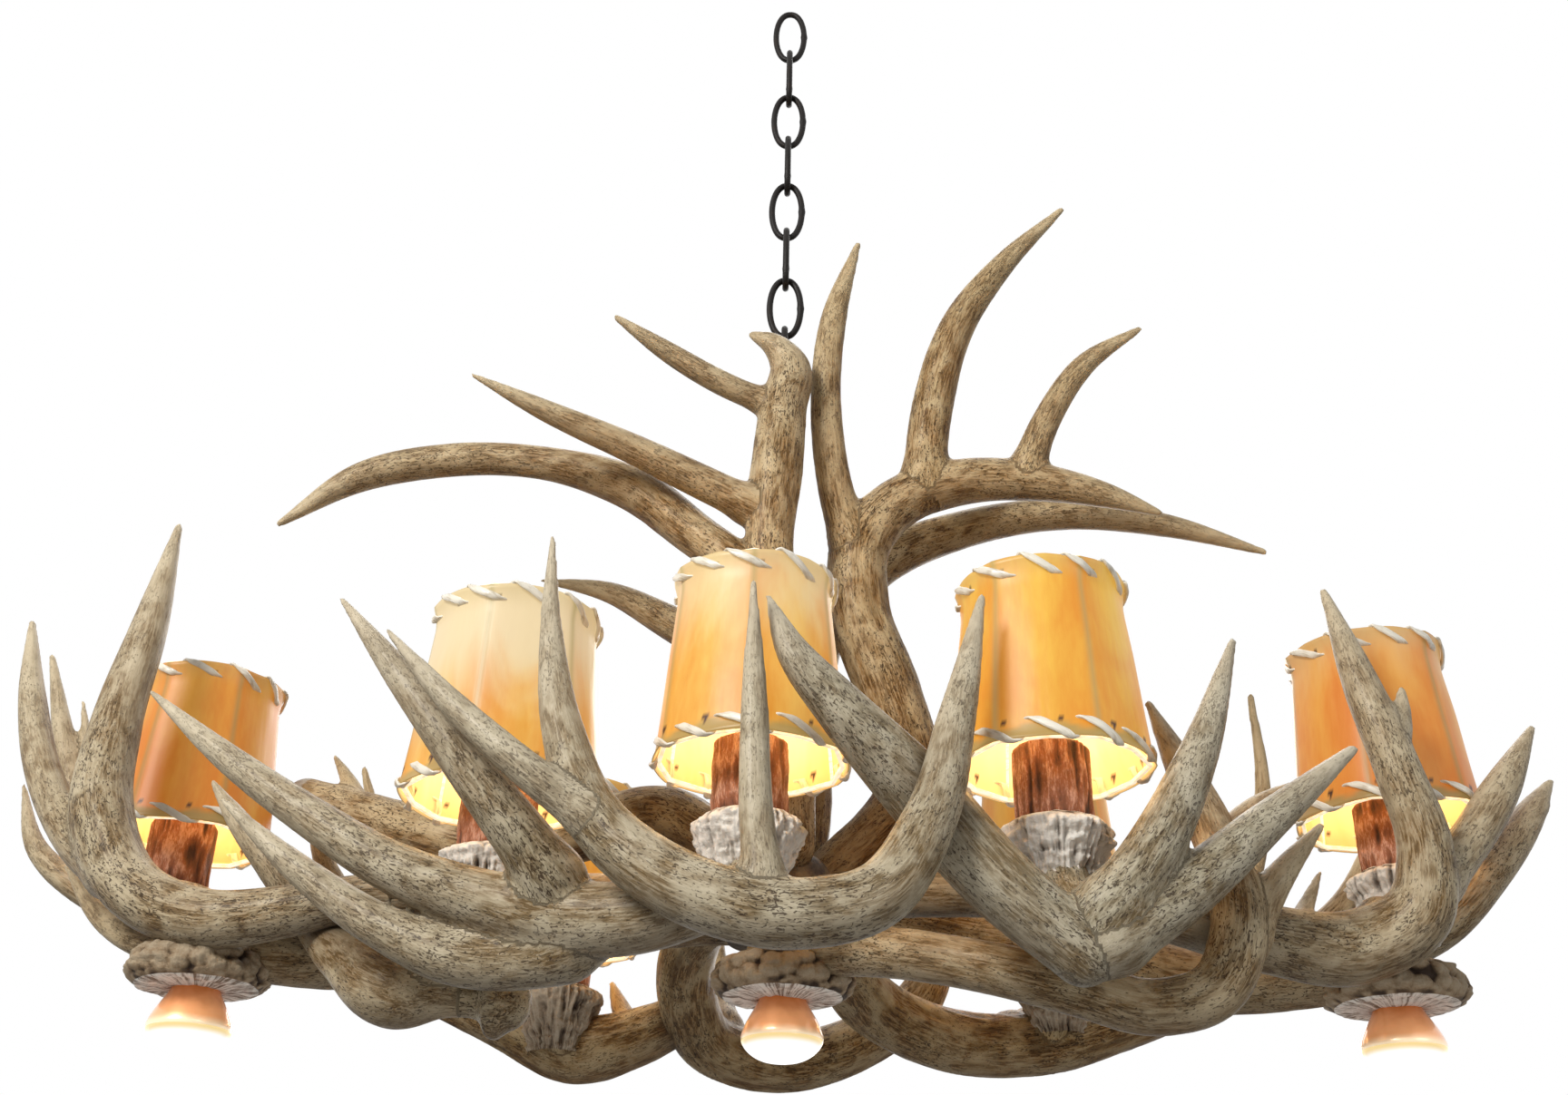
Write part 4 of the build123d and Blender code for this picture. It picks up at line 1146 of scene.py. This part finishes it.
def hide_profile(height):
    """Radius of a shade's seams in mm at a height over its lower rim.

    A straight taper from 74.2 at 4 to 62.6 at 132, flared by 5.2 over the top 22 and lipped by 1.6 below 10.
    """
    taper = 74.2 - (74.2 - 62.6) * (height - 4) / 128
    top = 5.2 * np.clip((height - 128) / 22, 0, 1) ** 1.7
    lip = 1.6 * np.clip((10 - height) / 10, 0, 1) ** 1.5
    return taper + top + lip


def rim_scallop(around, seed):
    """Height in mm that a rim wanders: 2.2 sin^2 between the seams, and a slow wave of 0.7 round it."""
    return 2.2 * np.sin(between_seams(around) * math.pi / 2) ** 2 + 0.7 * np.sin(around * 5 + seed)


def shade_points(spot, turn, around, height, inset, seed):
    """Points of a shade: radius hide_profile x panel_reach less inset, sagged a little by noise."""
    x, y, z = spot
    angle = around + math.radians(turn)
    spots = np.stack([np.cos(around) * 2.6, np.sin(around) * 2.6, height / 42], -1).reshape(-1, 3)
    wobble = lattice_noise(spots + seed, seed).reshape(around.shape)
    r = hide_profile(height) * panel_reach(around) - inset + (wobble - 0.55) * 1.6
    edge = height / SHADE_HEIGHT
    lift = rim_scallop(around, seed) * (edge**6 - (1 - edge) ** 8)
    tall = np.clip(height + lift - 1.6 * edge**6, 0.2, SHADE_HEIGHT - 0.2)
    return np.stack([x + r * np.cos(angle), y + r * np.sin(angle), z + SHADE_RIM + tall], axis=-1)


def build_cover(candle, spot, turn, finish, seed):
    """Hide of one shade: outer and inner surface over (angle, height), joined over both rims."""
    sizes = bpy.context.scene.chandelier_sizes
    sides, rows = 240, 44
    thick = sizes.hide_thickness / MM
    climb = np.linspace(0, SHADE_HEIGHT, rows)
    half = np.linspace(0, math.pi, 5)[1:-1]
    heights = np.concatenate([climb, SHADE_HEIGHT + 0 * half, climb[::-1], 0 * half])
    insets = np.concatenate([
        np.zeros(rows), (1 - np.cos(half)) / 2 * thick, np.full(rows, thick), (1 + np.cos(half)) / 2 * thick,
    ])
    bulge = np.concatenate([0 * climb, np.sin(half), 0 * climb, -np.sin(half)])
    aa, hh = np.meshgrid(np.linspace(0, 2 * math.pi, sides, endpoint=False), heights)
    points = shade_points(spot, turn, aa, hh, insets[:, None], seed)
    points[..., 2] += bulge[:, None] * thick / 2 * 0.2
    middle = between_seams(aa)
    from_seam = middle * (math.pi / 6) * 68
    pitch = 2 * math.pi / sizes.stitches
    from_hole = np.abs(np.mod(aa / pitch, 1) - 0.5) * pitch * 70
    hole = (np.hypot(from_hole, hh - 13) < 2.6) | (np.hypot(from_hole, hh - 139) < 2.2)
    ragged = 9.5 + 2.0 * np.sin(aa * 6 + seed) + 1.2 * np.sin(aa * 17)
    cover = Shape()
    cover.add(
        points * MM,
        grid_faces(len(heights), sides, True, True),
        seam=np.exp(-((from_seam / 2.6) ** 2)).ravel(),
        hole=hole.astype(float).ravel(),
        height=(hh / SHADE_HEIGHT).ravel(),
        inner=np.repeat(insets > thick * 0.75, sides).astype(float),
        panel=middle.ravel(),
        hem=(1 / (1 + np.exp((hh - ragged) * 1.4))).ravel(),
    )
    body = f"{candle}_shade"
    cover.piece(body + "_hide", body, "rawhide", finish, replaces=[body + "_cover"])


def build_laces(candle, spot, turn, seed):
    """Whip stitches: a flat lace that winds round each rim's edge while it travels round the shade.

    With w the winding angle, the lace stands at (w - 0.8 cos w) / stitches round the shade, sin w outwards,
    and (1 +- cos w) / 2 of its reach from the rim, so that it slants over the outside and runs straight up
    the inside.
    """
    sizes = bpy.context.scene.chandelier_sizes
    width, thick, sides = sizes.lace_width / 2 / MM, 1.5, 14
    steps = sizes.stitches * 40
    wind = np.linspace(0, 2 * math.pi * sizes.stitches, steps, endpoint=False)
    around = (wind - 0.8 * np.cos(wind)) / sizes.stitches + 0.05 * np.sin(wind * 0.3 + seed)
    outward = np.sin(wind)
    angle = around + math.radians(turn)
    out = np.stack([np.cos(angle), np.sin(angle), 0 * angle], -1)
    a = np.linspace(0, 2 * math.pi, sides, endpoint=False)
    grain = stacked(np.cos(a) * width, np.sin(a) * thick, around[:, None] * 150).reshape(-1, 3)
    lace = Shape()
    for up, reach in ((-1, 13.0), (1, 12.0)):
        drop = reach * (1 + 0.14 * np.sin(around * 2 + seed))
        climb = 0.5 - 0.5 * np.cos(wind) * up
        height = 1.0 + drop * climb if up < 0 else SHADE_HEIGHT - 1.0 - drop * climb
        line = shade_points(spot, turn, around, height, 0.7, seed) + out * (outward * (thick + 1.4))[:, None]
        line[:, 2] += up * 2.0 * (1 - climb) ** 4 * (1 - np.abs(outward))
        tangent = tangents_round(line)
        away = out * outward[:, None]
        away[:, 2] += up * (0.5 - climb) * 2 * (1 - np.abs(outward))
        away -= tangent * (away * tangent).sum(1)[:, None]
        away /= np.linalg.norm(away, axis=1)[:, None]
        rings = rings_round(line, np.cross(tangent, away) * width, away * thick, sides)
        lace.add(rings * MM, grid_faces(steps, sides, True, True), grain=grain * MM)
    body = f"{candle}_shade"
    lace.piece(body + "_lacing", body, "rawhide", lace_finish())


# ---------------------------------------------------------------- chain and stem
def tangents_round(line):
    """Unit directions along a closed line."""
    tangent = np.roll(line, -1, 0) - np.roll(line, 1, 0)
    return tangent / np.linalg.norm(tangent, axis=1)[:, None]


def oval_line(high, wide, steps=80):
    """Centre line of a link, fuller than an ellipse: (wide sin a |sin a|^-0.12, high cos a)."""
    a = np.linspace(0, 2 * math.pi, steps, endpoint=False) + 1e-4
    return np.stack([wide * np.sign(np.sin(a)) * np.abs(np.sin(a)) ** 0.88, 0 * a, high * np.cos(a)], -1)


def wire_ring(line, radii, height):
    """Points of a closed wire round a line in the XZ plane, moved up to a height."""
    upright = np.tile((0.0, 1.0, 0.0), (len(line), 1))
    rings = rings_round(line, np.cross(tangents_round(line), upright), upright, 16, radii)
    return rings + (0, 0, height)


def build_link(number):
    """One oval link of 6.4 mm wire with a weld that swells one of its sides. Every second one is turned."""
    line = oval_line(34.2, 15.2)
    weld = 0.55 * np.exp(-((line[:, 2] / 3.2) ** 2)) * (line[:, 0] > 0)
    points = wire_ring(line, WIRE_RADIUS + weld, FIRST_LINK - (number - 1) * LINK_PITCH)
    if number % 2 == 0:
        points = np.stack([-points[..., 1], points[..., 0], points[..., 2]], -1)
    link = Shape()
    link.add(points * MM, grid_faces(*points.shape[:2], True, True))
    name = f"chain_link_{number}"
    link.piece(name + "_wire", name, "bronzed_steel", bronze_finish(), replaces=[name])


def build_stem():
    """Hanging loop on its collar, the pipe below it and the hub round the pipe's foot."""
    axis = (0, 0, 0)
    loop = Shape()
    points = wire_ring(oval_line(14.0, 14.0), WIRE_RADIUS, LOOP_CENTRE)
    loop.add(points * MM, grid_faces(*points.shape[:2], True, True))
    loop.turn(softened(COLLAR, 0.8), axis, 48)
    loop.piece("hanging_loop_ring", "fixture", "bronzed_steel", bronze_finish(), replaces=["hanging_loop"])
    pipe = np.array([(PIPE_RADIUS, z) for z in np.linspace(*PIPE_ENDS, 40)])
    stem = Shape().turn(pipe, axis, 32)
    stem.piece("stem_tube", "fixture", "bronzed_steel", bronze_finish(), replaces=["stem_pipe"])
    hub = Shape().turn(softened(HUB, 1.5), axis)
    hub.piece("hub_casting", "fixture", "cast_hub", hub_finish(), replaces=["hub_block"])


# ---------------------------------------------------------------- stage
@once
def floor_finish():
    """Pale matt floor with a faint cloud, lifted where the camera sees it so that only shadows darken it."""
    f = Finish("pale_floor", Roughness=0.9, Specular_IOR_Level=0.1, Emission_Strength=0.62)
    where = f.node("TexCoord", "Object")
    cloud = f.noise(where, 0.8, detail=2.0)
    tone = f.blend(cloud, (0.80, 0.80, 0.79), (0.84, 0.84, 0.83))
    seen = f.node("LightPath", "Is Camera Ray")
    return f.set(Base_Color=tone, Emission_Color=f.blend(seen, (0.0, 0.0, 0.0), tone))


def pale_world():
    """White where a camera, glossy or transmission ray sees it, and a softer grey light everywhere else."""
    world = bpy.data.worlds.new("studio")
    bpy.context.scene.world = world
    world.use_nodes = True
    tree = world.node_tree
    seen = 0.0
    for ray in ("Is Camera Ray", "Is Glossy Ray", "Is Transmission Ray"):
        seen = add_node(tree, "LightPath", ray, {}, {}).sum_node("MAXIMUM", seen)
    feed(tree, tree.nodes["Background"].inputs["Color"], (1.0, 1.0, 1.0))
    feed(tree, tree.nodes["Background"].inputs["Strength"], seen * 0.82 + 0.18)


def hang_lamp(name, place, size, power, tint):
    """A round studio lamp that faces the chandelier."""
    lamp = bpy.data.lights.new(name, "AREA")
    lamp.shape = "DISK"
    lamp.size = size
    lamp.energy = power
    lamp.color = tint
    obj = linked(name, lamp)
    obj.location = place
    x, y, z = np.array(LAMPS_AIM) - np.array(place)
    obj.rotation_euler = (math.atan2(math.hypot(x, y), -z), 0, math.atan2(-x, y))


def set_camera():
    """Camera below the chandelier's front that looks up at it."""
    camera = bpy.data.cameras.new("camera")
    camera.lens = CAMERA_LENS
    camera.sensor_width = 36
    obj = linked("camera", camera)
    obj.location = CAMERA_PLACE
    look = Euler((math.radians(90 + CAMERA_RISE), 0, 0)).to_matrix()
    roll = Euler((0, 0, math.radians(CAMERA_ROLL))).to_matrix()
    obj.rotation_euler = (look @ roll).to_euler()
    bpy.context.scene.camera = obj


# ---------------------------------------------------------------- operators
class AddAntlers(bpy.types.Operator):
    """Adds the antlers, each fused from its branches"""

    bl_idname = "chandelier.add_antlers"
    bl_label = "Add antlers"

    def execute(self, context):
        for seed, (name, (tan, branches)) in enumerate(ANTLERS.items(), 3):
            build_antler(name, tan, branches, seed)
        return {"FINISHED"}


class AddBurrs(bpy.types.Operator):
    """Adds the knobbly burrs under the candles and round the reflector lamps"""

    bl_idname = "chandelier.add_burrs"
    bl_label = "Add burrs"

    def execute(self, context):
        for seed, (candle, spot, _, _, _) in enumerate(CANDLES, 40):
            build_burr(candle + "_candle_burr", spot, 0.15 if "rear" in candle else 0.85, seed, **CANDLE_BURR)
        for seed, (lamp, spot) in enumerate(DOWNLIGHTS, 60):
            build_burr(lamp + "_lamp_burr", spot, 0.0, seed, **LAMP_BURR)
        return {"FINISHED"}


class AddCandles(bpy.types.Operator):
    """Adds the bark sleeves and the bulbs"""

    bl_idname = "chandelier.add_candles"
    bl_label = "Add candle lamps"

    def execute(self, context):
        sleeves = Shape()
        for seed, (candle, spot, _, _, _) in enumerate(CANDLES, 11):
            build_sleeve(sleeves, spot, seed)
            build_bulb(candle, spot)
        sleeves.piece("bark_sleeves", "fixture", "bark", bark_finish(), replaces=["candle_sleeves"])
        return {"FINISHED"}


class AddShades(bpy.types.Operator):
    """Adds the rawhide shades and their lacing"""

    bl_idname = "chandelier.add_shades"
    bl_label = "Add shades"

    def execute(self, context):
        for seed, (candle, spot, turn, pale, lit) in enumerate(CANDLES, 21):
            build_cover(candle, spot, turn, hide_finish(pale, lit), seed)
            build_laces(candle, spot, turn, seed)
        return {"FINISHED"}


class AddReflectorLamps(bpy.types.Operator):
    """Adds the reflector lamps"""

    bl_idname = "chandelier.add_reflector_lamps"
    bl_label = "Add reflector lamps"

    def execute(self, context):
        for lamp, spot in DOWNLIGHTS:
            build_reflector(lamp, spot)
        return {"FINISHED"}


class AddChain(bpy.types.Operator):
    """Adds the chain, the hanging loop, the stem and the hub"""

    bl_idname = "chandelier.add_chain"
    bl_label = "Add chain and stem"

    def execute(self, context):
        for number in range(1, LINK_COUNT + 1):
            build_link(number)
        build_stem()
        return {"FINISHED"}


class DressFrame(bpy.types.Operator):
    """Gives the pieces that keep their solids a finish: nuts and screws, lampholders and shade frames"""

    bl_idname = "chandelier.dress_frame"
    bl_label = "Dress frame"

    def execute(self, context):
        finishes = {"zinc_plate": zinc_finish, "phenolic": phenolic_finish, "frame_wire": wire_finish}
        for row in frame["record"]["subparts"]:
            if row["material_slot"] in finishes:
                for slot in frame["nodes"][row["node"]].material_slots:
                    slot.material = finishes[row["material_slot"]]()
        return {"FINISHED"}


class AddStage(bpy.types.Operator):
    """Adds the floor, the lamps of the studio, the pale background and the camera"""

    bl_idname = "chandelier.add_stage"
    bl_label = "Add stage"

    def execute(self, context):
        floor = mesh_object("floor", np.array(FLOOR), np.array([(0, 1, 2, 3)]), floor_finish(), False)
        for lamp in STUDIO:
            hang_lamp(*lamp)
        pale_world()
        set_camera()
        context.scene.view_settings.view_transform = "Standard"
        return {"FINISHED"}


class ChandelierPanel(bpy.types.Panel):
    """Lists the steps that build the chandelier's looks."""

    bl_idname = "VIEW3D_PT_chandelier"
    bl_label = "Antler chandelier"
    bl_space_type = "VIEW_3D"
    bl_region_type = "UI"
    bl_category = "Chandelier"

    def draw(self, context):
        for group in (context.scene.chandelier_sizes, context.scene.chandelier_colours):
            for name in group.__annotations__:
                self.layout.prop(group, name)
        for step in STEPS:
            self.layout.operator(step.bl_idname)


STEPS = (AddAntlers, AddBurrs, AddCandles, AddShades, AddReflectorLamps, AddChain, DressFrame, AddStage)
CLASSES = (ChandelierSizes, ChandelierColours, *STEPS, ChandelierPanel)


def register():
    for cls in CLASSES:
        bpy.utils.register_class(cls)
    bpy.types.Scene.chandelier_sizes = PointerProperty(type=ChandelierSizes)
    bpy.types.Scene.chandelier_colours = PointerProperty(type=ChandelierColours)


def unregister():
    del bpy.types.Scene.chandelier_colours
    del bpy.types.Scene.chandelier_sizes
    for cls in reversed(CLASSES):
        bpy.utils.unregister_class(cls)


def main():
    register()
    for step in STEPS:
        group, name = step.bl_idname.split(".")
        getattr(getattr(bpy.ops, group), name)()


if __name__ == "__main__":
    main()
